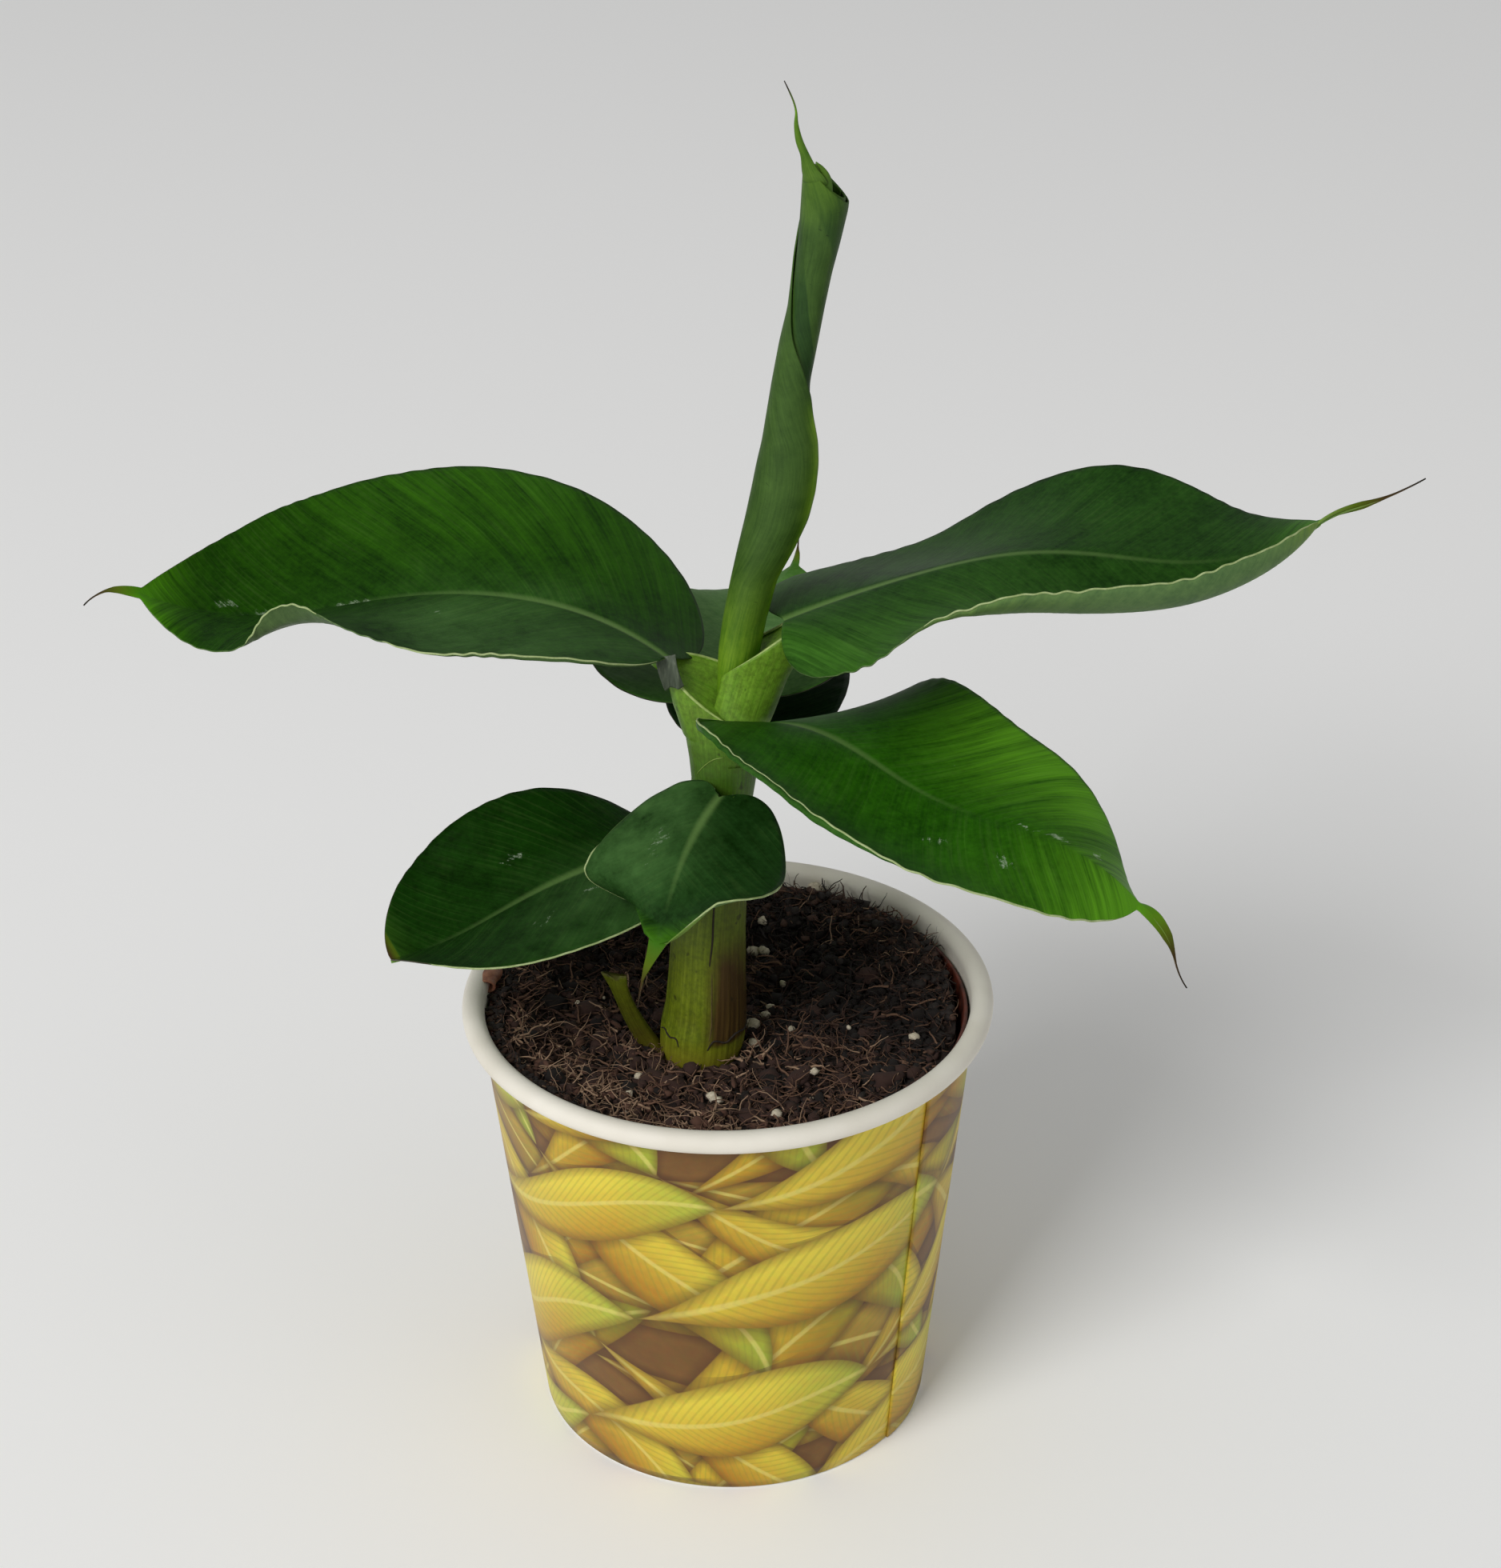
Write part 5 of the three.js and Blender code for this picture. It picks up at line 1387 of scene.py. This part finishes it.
# %% Stalk material
# Juicy and waxed: bright yellow-green with fine lines and a satin gleam
stalk_skin, tree, skin = new_material("banana leaf stalk, waxy")
along, around, dryness = (add(tree, "Attribute", attribute_name=label).outputs["Fac"]
                          for label in ("along", "across", "tint"))
slow = add(tree, "Math", {0: along, 1: 0.05}, operation="MULTIPLY")
stretched = add(tree, "CombineXYZ", {"X": slow, "Y": around})
streak = add(tree, "TexNoise", {"Vector": stretched, "Scale": 1.6, "Detail": 4.0})
green = add(tree, "ValToRGB", {"Fac": streak},
            stops=[(0.3, "#47720f"), (0.7, "#6f9a2c")])
green = wash(tree, green, "#5f8f16", along, 30.0, 0.0, 0.75)
older = add(tree, "ValToRGB", {"Fac": dryness},
            stops=[(0.0, "#3f6a12"), (0.4, "#5f7a18"), (0.7, "#4d3a1c"), (1.0, "#1a130c")])
green = wash(tree, green, older, dryness, 0.0, 0.15)
bump = add(tree, "Bump", {"Height": streak, "Strength": 0.3, "Distance": 0.0003})
fill(tree, skin, {"Base Color": green, "Normal": bump, "Roughness": 0.42})
print("stalk:", stalk_skin.name)


# %% Sheath values
SHEATHS = {
    # azimuth of the leaf, turn to the near and the far side, height of the foot, heights of the
    # edge from the near end over the stalk to the far end, outer sizes by height (z, along x,
    # along y), and how far the top leans to its own leaf above a low height
    "leaf_upper_right": dict(azimuth=8, turn=(140, 118), foot=184,
                             edge=(205.4, 209.2, 213.2, 216.6, 218.8, 219.6, 218.6, 215.5, 212.5, 210, 208),
                             lean=8.0, low=190, span=18, sag=2.0,
                             sizes=[(184, 8.0, 7.2), (190, 8.5, 7.5), (196, 7.6, 6.8), (203, 6.3, 6.0),
                                    (212, 5.9, 5.6), (219, 5.9, 5.4)]),
    "leaf_upper_left": dict(azimuth=182, turn=(116, 116), foot=186,
                            edge=(191.5, 195.5, 199, 202.8, 206.6, 208.2, 208.4, 207.4, 206, 204, 202),
                            lean=-13, low=187, span=26, sag=1.6,
                            sizes=[(186, 8.2, 7.0), (190, 9.4, 8.1), (197, 8.9, 7.9),
                                   (204, 7.6, 6.9), (212, 6.2, 5.8)]),
}
print("sheaths:", sorted(SHEATHS))


# %% Stalks
KEEL_END = (0.54, 0.5)      # half width and depth of the keel where the thread starts


def bezier(p0, p1, p2, p3, t):
    t = t[:, None]
    return (1 - t) ** 3 * p0 + 3 * (1 - t) ** 2 * t * p1 + 3 * (1 - t) * t**2 * p2 + t**3 * p3


def stalk_rows(name):
    """Centres, side and up vectors, half width, depth and kind of section from the stem to the blade."""
    L, line = LEAVES[name], MIDRIBS[name]
    stalk = L["stalk"]
    azimuth = math.radians(stalk["azimuth"])
    p0 = np.array(stalk["start"], float)
    p3 = line["place"][0] - line["up"][0] * stalk["deep"][-1] * 0.55
    outward = np.array([math.cos(azimuth), math.sin(azimuth), 0])
    p1 = p0 + np.array([0, 0, stalk["lead"]]) + outward * stalk["lead"] * 0.2
    p2 = p3 - line["ahead"][0] * stalk["reach"]
    t = np.linspace(0, 1, 15)
    centres = bezier(p0, p1, p2, p3, t)
    ahead = unit(np.gradient(centres, axis=0))[:-1]
    centres, t = centres[:-1], t[:-1]
    turn = (L["yaw"][0] - stalk["azimuth"] + 540) % 360 - 180
    yaw = azimuth + np.radians(turn * t)
    side = np.stack([np.sin(yaw), -np.cos(yaw), 0 * yaw], 1)
    side = unit(side - ahead * (side * ahead).sum(1)[:, None])
    wide, deep = smooth(stalk["wide"], t), smooth(stalk["deep"], t)
    return list(zip(centres, side, np.cross(side, ahead), wide, deep, 0.0 * t))


def keel_rows(name):
    """The same rows on along the keel under the blade and the thread behind it."""
    L, line = LEAVES[name], MIDRIBS[name]
    wide, deep = L["stalk"]["wide"][-1], L["stalk"]["deep"][-1]
    rows = []
    for s in np.linspace(0, 1, 40):
        m, d, u = (on_line(line, what, np.array([s]))[0] for what in ("place", "side", "up"))
        fade = (1 - s) ** 1.3
        a = KEEL_END[0] + (wide * 0.62 - KEEL_END[0]) * fade
        b = KEEL_END[1] + (deep * 0.8 - KEEL_END[1]) * fade
        rows.append((m - u * (b * 0.9 + 0.1), d, u, a, b, 1.0))
    for q in np.linspace(0, 1, 29)[1:] if L["tail"] else []:
        s = 1 + q * (ENDS[name] - 1)
        p, d, u = (on_line(line, what, np.array([s]))[0] for what in ("place", "side", "up"))
        thick = 0.13 + 0.36 * (1 - q) ** 1.5
        rows.append((p - u * 0.3 * (1 - q), d, u, thick, thick, 1.0 + q))
    return rows


def make_stalk(name):
    # Where a leaf has a sheath, the sheath itself is the stalk
    rows = keel_rows(name) if name in SHEATHS else stalk_rows(name) + keel_rows(name)
    centres, side, upward = (np.array([row[k] for row in rows]) for k in range(3))
    sizes = np.array([row[3:] for row in rows])

    def reach(s, f):
        a, b, kind = smooth(sizes, s).T
        channel = np.clip(1 - kind, 0, 1)
        across = a * np.cos(f)
        low = b * np.sin(f)
        share = np.clip(np.abs(across) / np.maximum(a, 1e-6), 0, 1)
        dip = b * (0.35 - 1.0 * np.cos(share * math.pi / 2) ** 1.2)
        high = channel * dip + (1 - channel) * b * 0.5 * np.sin(f)
        return across, np.where(np.sin(f) > 0, high, low)

    def marks(s, f):
        kind = smooth(sizes, s)[:, 2]
        return np.stack([s * 100, f * 2, f, np.clip(kind - 1, 0, 1)], 1)

    piece = tube(name + "_stalk", (centres, side, upward), 28, reach, marks)
    return keep(piece, "green_leaf", [name], stalk_skin)


for name in LEAVES:
    make_stalk(name)
print("stalks:", len(LEAVES))

# %% [markdown]
# ## The dry fold
# At its base the upper left leaf has torn, and a rag of dead blade hangs down in front of the
# stalk. It is a sheet spread between four corners and pushed out of its plane by slow waves, which
# stand for its creases. Cloth simulation would do it too, but four corners are easier to place.

# %% The dry fold at the base of the upper left leaf
# Dead blade is papery: dull grey, creased along its veins
dry_fold, tree, skin = new_material("dry grey fold of a leaf base")
where = add(tree, "TexCoord").outputs["Object"]
pulled = add(tree, "Mapping", {"Vector": where, "Rotation": (0.0, 0.35, 0.0), "Scale": (900.0, 900.0, 90.0)})
crease = add(tree, "TexNoise", {"Vector": pulled, "Scale": 1.0, "Detail": 4.0})
tone = add(tree, "ValToRGB", {"Fac": crease},
           stops=[(0.3, "#2a3624"), (0.55, "#4a5442"), (0.75, "#767e6a")])
bump = add(tree, "Bump", {"Height": crease, "Strength": 0.6, "Distance": 0.0005})
fill(tree, skin, {"Base Color": tone, "Normal": bump, "Roughness": 0.6})
print("fold finish:", dry_fold.name)

# Corners of the rag in mm: top left, top right, bottom left, bottom right
RAG = np.array([(-15.4, -2.6, 210.4), (-10.6, -2.8, 211.6), (-13.0, -4.2, 202.8), (-9.0, -5.2, 204.4)])


def make_flap(name):
    """A folded rag of blade that hangs down from the leaf's base in front of the stalk."""
    def hanging(s, v):
        u = (v + 1) / 2
        weights = np.stack([(1 - s) * (1 - u), (1 - s) * u, s * (1 - u), s * u], 1)
        crease = 0.35 * np.sin(9 * u + 2 * s) + 0.6 * np.sin(np.pi * s) + 0.3 * np.sin(3 * s + 14 * u) * s
        hem = 0.5 * np.sin(6 * u) * s
        shift = crease[:, None] * np.array([-0.35, -0.9, 0.2]) + hem[:, None] * np.array([0, 0, 1.0])
        return weights @ RAG + shift, np.stack([s, v, s, 0 * s], 1)

    flap = sheet(name + "_base_fold", 24, 30, hanging)
    flap.modifiers.new("leaf thickness", "SOLIDIFY").thickness = 0.35 * MM
    return keep(flap, "green_leaf", [name], dry_fold)


# %% [markdown]
# ## Sheaths at the fork
# Where a stalk leaves the stem it is still a sheath: a thin wall that wraps what stands inside
# it, with a pale edge that climbs from the far side up to the stalk. Each is a sheet wound part of
# the way round the stem's axis, its top edge higher towards its own leaf.

# %% Sheaths
ROLL_AXIS = np.array([(183, 0.4, -1), (195, 2.0, 0.8), (205, 3.2, 1.6), (219, 5.4, 2)])


def make_sheath(name, values):
    sizes = np.array(values["sizes"])
    mirror = 1 if math.cos(math.radians(values["azimuth"])) < 0 else -1

    def place(s, v, proud=0.0):
        """v runs from -1 at the near end of the edge, over the stalk at 0, to 1 at the far end."""
        turn = np.where(v < 0, values["turn"][0], values["turn"][1]) * v
        f = np.radians(values["azimuth"] - mirror * turn)
        top = smooth(values["edge"], (v + 1) / 2)
        z = values["foot"] + (top - values["foot"]) * s
        cx = np.interp(z, ROLL_AXIS[:, 0], ROLL_AXIS[:, 1])
        cy = np.interp(z, ROLL_AXIS[:, 0], ROLL_AXIS[:, 2])
        wide, deep = (smooth_at(sizes[:, [0, k]], z) for k in (1, 2))
        toward = 0.5 + 0.5 * np.cos(np.radians(turn))
        pull = values["lean"] * np.clip((z - values["low"]) / values["span"], 0, 1.2) * toward
        sink = 1 - 0.14 * np.clip((-v - 0.86) / 0.14, 0, 1)
        along_x = cx + (wide * sink + proud) * np.cos(f) + pull
        along_y = cy + (deep * sink + proud) * np.sin(f)
        return np.stack([along_x, along_y, z], 1), np.stack([f * 8, z, v, np.zeros_like(s)], 1)

    piece = sheet(name + "_sheath", 44, 72, place)
    piece.modifiers.new("sheath wall", "SOLIDIFY").thickness = 0.6 * MM
    keep(piece, "green_leaf", [name], living_stem)

    def channel(s, v):
        """The hollow upper side of the stalk, spanned between the two edges of the sheath."""
        reach = 1 - 0.96 * s
        near, far = place(np.ones_like(s), -reach)[0], place(np.ones_like(s), reach)[0]
        share = (v + 1) / 2
        points = near * (1 - share)[:, None] + far * share[:, None]
        points[:, 2] -= 0.5 + values["sag"] * (1 - v * v) * (1 - 0.6 * s)
        return points, np.stack([v * 8, points[:, 2], v, np.zeros_like(s)], 1)

    hollow = sheet(name + "_stalk_hollow", 30, 24, channel)
    hollow.modifiers.new("wall", "SOLIDIFY").thickness = 0.5 * MM
    keep(hollow, "green_leaf", [name], living_stem)
    steps = np.linspace(-1, 1, 90)
    centres = place(np.ones_like(steps), steps)[0]
    ahead = unit(np.gradient(centres, axis=0))
    upward = np.repeat([[0.0, 0.0, 1.0]], len(steps), 0)
    side = unit(np.cross(ahead, upward))
    if name == "leaf_upper_left":
        make_flap(name)

    def reach(s, f):
        size = 0.4 * np.clip(s * 5, 0.3, 1)
        return size * np.cos(f), size * np.sin(f)

    edge = tube(name + "_sheath_edge", (centres, side, upward), 8, reach, round_marks)
    return keep(edge, "green_leaf", [name], pale_edge)


for name, values in SHEATHS.items():
    make_sheath(name, values)
print("sheaths:", len(SHEATHS))

# %% [markdown]
# ## The rolled leaf
# The youngest leaf comes up as a tight scroll and opens later. It is one sheet wound more than
# twice round a leaning axis: the radius shrinks as it winds in, so that each turn lies inside the
# last. The lap shows as an edge that climbs round the scroll. Its open top is cut on a slant, and
# the leaf's thread stands up from it.

# %% Scroll shape
ROLL = np.array([
    (194.9, 2.4, 4), (203, 3, 4.4), (211, 4, 4.9), (218, 5.2, 5.1), (228.7, 7.6, 5.4),
    (236, 10.3, 6.5), (244, 13, 7.3), (251, 14.6, 7.4), (257.5, 15.6, 7.1), (263, 16.2, 6.4),
    (270, 16.4, 5.4), (277, 17, 4.8), (287, 18.9, 4.7), (295, 20.6, 4.4), (303, 21.9, 4.7),
    (310, 23.2, 5.2), (318, 24.4, 5.8), (326, 24.8, 5.6), (335, 24.6, 5),
])
ROLL_DEPTH = 2.0
LAP = np.array([
    (195, 356), (225, 353), (237, 350), (251, 347), (263, 349), (270, 338), (275, 327), (279, 304),
    (284, 274), (289, 243), (295, 215), (303, 186), (312, 155), (325, 115), (335, 90),
])
# Azimuths of the edge where the inner turns start to show, by height
SEAM = np.array([
    (273, 338), (279, 304), (284, 274), (289, 243), (295, 215), (300, 360), (306, 323), (315, 268),
    (324, 205),
])
ROLL_TURNS = 2.3
CUT_LEFT, CUT_RIGHT = (19.4, 329.5), (30.6, 318.0)
MOUTH_RADIUS = 5.6


def scroll_place(s, v):
    turns = (v + 1) / 2 * ROLL_TURNS
    slant = (CUT_RIGHT[1] - CUT_LEFT[1]) / (CUT_RIGHT[0] - CUT_LEFT[0])
    top = np.full_like(s, 326.0)
    for _ in range(4):
        f = np.radians(np.interp(top, LAP[:, 0], LAP[:, 1])) - 2 * np.pi * turns
        x = np.interp(top, ROLL[:, 0], ROLL[:, 1]) + MOUTH_RADIUS * (1 - 0.2 * turns) * np.cos(f)
        top = CUT_LEFT[1] + slant * (x - CUT_LEFT[0])
    z = ROLL[0, 0] + s * (top - ROLL[0, 0])
    f = np.radians(smooth_at(LAP, z)) - 2 * np.pi * turns
    cx, r = smooth_at(ROLL[:, :2], z), smooth_at(ROLL[:, [0, 2]], z)
    lifted = 0.45 * np.exp(-turns / 0.05) * np.clip((300 - z) / 10, 0, 1)
    reach = r * (1.05 - 0.14 * turns) - 0.25 + lifted
    points = np.stack([cx + reach * np.cos(f), ROLL_DEPTH + reach * np.sin(f), z], 1)
    low = 0.5 - 0.5 * np.cos(np.pi * np.clip((242 - z) / 48, 0, 1))
    margin = np.exp(-((turns / 0.055) ** 2)) * np.clip((275 - z) / 8, 0, 1)
    right_side = 0.6 * np.clip(np.cos(f - 0.1), 0, 1) ** 3 * np.clip(1 - np.abs(z - 247) / 26, 0, 1)
    wrapped = smooth_at(LAP, z) - np.degrees(f)
    facing = np.mod(np.degrees(f) - 100, 360) + 100
    seam = np.interp(z, SEAM[:, 0], SEAM[:, 1])
    upper = np.clip((z - 300) / 6, 0, 1)
    # Where the inner turn shows past the lap's edge; the material paints it darker there as painted shade
    inner = np.clip((facing - smooth_at(LAP, z)) / 12, 0, 1) * np.clip((z - 273) / 4, 0, 1) * (wrapped > 300)
    inner = inner * (1 - 0.7 * upper) + 0.7 * upper * np.clip((facing - seam) / 10, 0, 1)
    mouth = 0.4 * np.clip((z - 314) / 14, 0, 1)
    bright = np.clip(low + margin + right_side + mouth, 0, 1)
    return points, np.stack([z, turns * 2 * np.pi * r, inner, bright], 1)


scroll = sheet("scroll", 284, 172, scroll_place)
scroll.modifiers.new("leaf thickness", "SOLIDIFY").thickness = 0.35 * MM
print("scroll faces:", len(scroll.data.polygons))

# %% Scroll finish
# The scroll shows lower faces: dull mid green with a powdery film, lime where it is youngest
young_leaf, tree, skin = new_material("rolled banana leaf, underside out")
height, wound, inner, bright = (add(tree, "Attribute", attribute_name=label).outputs["Fac"]
                                for label in ("along", "across", "edge", "tint"))
slanted = add(tree, "Math", {0: wound, 1: -0.45, 2: height}, operation="MULTIPLY_ADD")
thin = add(tree, "Math", {0: height, 1: 0.05}, operation="MULTIPLY")
lines = add(tree, "CombineXYZ", {"X": wound, "Y": thin})
fine = add(tree, "TexNoise", {"Vector": lines, "Scale": 1.6, "Detail": 6.0, "Roughness": 0.7})
where = add(tree, "TexCoord").outputs["Object"]
cloud = add(tree, "TexNoise", {"Vector": where, "Scale": 75.0, "Detail": 6.0, "Roughness": 0.7})
blend = 0.0
for pattern, share in ((fine, 0.45), (cloud, 0.55)):
    blend = add(tree, "Math", {0: pattern, 1: share, 2: blend}, operation="MULTIPLY_ADD")
streak = add(tree, "MapRange", {"Value": blend, "From Min": 0.3, "From Max": 0.7})
outer = add(tree, "ValToRGB", {"Fac": streak}, stops=[(0.1, "#243f10"), (0.9, "#466527")])
# The inner turn in painted shade: darker greens where it lies under the lap's edge
darker = add(tree, "ValToRGB", {"Fac": streak}, stops=[(0.1, "#16300c"), (0.9, "#2d4e1c")])
green = add(tree, "Mix", {0: inner, 6: outer, 7: darker}, data_type="RGBA")
lime = add(tree, "ValToRGB", {"Fac": streak}, stops=[(0.25, "#4c7a0c"), (0.75, "#7ba01f")])
green = wash(tree, green, lime, bright, 0.0, 1.0)
green = wash(tree, green, "#2a2016", bright, 1.1, 1.8)
narrow = add(tree, "Math", {0: wound, 1: 0.22}, operation="MULTIPLY")
scratch_place = add(tree, "CombineXYZ", {"X": narrow, "Y": slanted})
scratch = add(tree, "TexNoise", {"Vector": scratch_place, "Scale": 1.1, "Detail": 3.0, "Roughness": 0.7})
green = wash(tree, green, "#16240a", scratch, 0.68, 0.71, 0.8)
bump = add(tree, "Bump", {"Height": streak, "Strength": 0.3, "Distance": 0.0003})
fill(tree, skin, {"Base Color": green, "Normal": bump, "Roughness": 0.55, "Specular IOR Level": 0.2})
keep(scroll, "young_leaf", ["leaf_rolled"], young_leaf)
print("scroll finish:", young_leaf.name)

# %% Thread on the scroll
# Rows of (x, z, half width, depth) from inside the mouth to the dried end
TAIL = np.array([
    (23.8, 320.2, 2.2, 1.5), (22.5, 324.4, 2.6, -2.1), (21.3, 327.2, 1.8, -2.3), (20.2, 330.9, 1.0, -2.4),
    (19.0, 334.15, 0.8, -2.3), (18.4, 337.6, 0.5, -2.1), (18.4, 340.2, 0.26, -1.7), (17.9, 342.4, 0.2, -1.4),
    (16.9, 344.8, 0.17, -1.1), (15.9, 346.9, 0.12, -0.8)])
FLAP = np.array([(24.4, 320, 1.5, -1.8), (25.0, 323.2, 1.25, -1.8), (24.8, 325.6, 1.0, -1.8),
                 (23.9, 327.6, 0.6, -1.8), (22.6, 329.2, 0.15, -1.8)])


def ribbon(name, rows, tints):
    """A flat ribbon through rows of (x, z, half width, depth), bowed like the wall of the scroll."""
    steps = np.linspace(0, 1, 30)
    values = smooth(rows, steps)
    centres = values[:, [0, 3, 1]]
    ahead = unit(np.gradient(centres, axis=0))
    side = unit(np.cross(ahead, np.repeat([[0.0, 1.0, 0.0]], 30, 0)))
    outward = unit(np.cross(side, ahead))

    def reach(s, f):
        half = smooth(rows[:, 2], s)
        bowed = 0.35 * half * np.cos(f) ** 2 * np.sign(-outward[0, 1])
        tilted = 0.5 * half * np.cos(f) * np.clip((0.4 - s) / 0.2, 0, 1)
        return half * np.cos(f), np.minimum(0.25, 0.8 * half) * np.sin(f) - bowed + tilted

    def marks(s, f):
        tint = np.interp(s, [0, 0.12, 0.3, 0.6, 0.72, 1], tints)
        return np.stack([320 + 27 * s, 3 * f, 0 * s, tint], 1)

    piece = tube(name, (centres, side, outward), 16, reach, marks)
    return keep(piece, "young_leaf", ["leaf_rolled"], young_leaf)


ribbon("scroll_thread", TAIL, (0.15, 0.2, 0.35, 0.6, 1.3, 2.0))
ribbon("scroll_flap", FLAP, (0.0, 0.0, 0.1, 0.3, 0.3, 0.3))
print("thread done")

# %% [markdown]
# ## Light and floor
# The photograph is a plain product picture: very soft light from above and in front, a white
# ground, and hardly any shadow. Two large lamps and a bright, even surround give that.

# %% Light
floor_mesh = bpy.data.meshes.new("floor")
bm = bmesh.new()
bmesh.ops.create_grid(bm, x_segments=1, y_segments=1, size=3.0)
bm.to_mesh(floor_mesh)
bm.free()
floor = bpy.data.objects.new("floor", floor_mesh)
floor_mesh.materials.append(plain_material("studio floor", "#fbfbfa", 0.8))
bpy.context.scene.collection.objects.link(floor)
LAMP_TARGET = Vector((0, 0, 0.17))


def lamp(name, place, size, power):
    light = bpy.data.objects.new(name, bpy.data.lights.new(name, "AREA"))
    light.data.size = size
    light.data.energy = power
    light.location = place
    light.rotation_mode = "QUATERNION"
    light.rotation_quaternion = (Vector(place) - LAMP_TARGET).to_track_quat("Z", "Y")
    bpy.context.scene.collection.objects.link(light)


lamp("key", (-2.0, -2.6, 2.8), 2.0, 118)
lamp("fill", (2.0, -1.4, 1.6), 1.6, 3)
world = bpy.data.worlds.new("studio")
world.use_nodes = True
world.node_tree.nodes["Background"].inputs["Color"].default_value = (1, 1, 1, 1)
world.node_tree.nodes["Background"].inputs["Strength"].default_value = 0.38
bpy.context.scene.world = world
bpy.context.scene.view_settings.view_transform = "Standard"
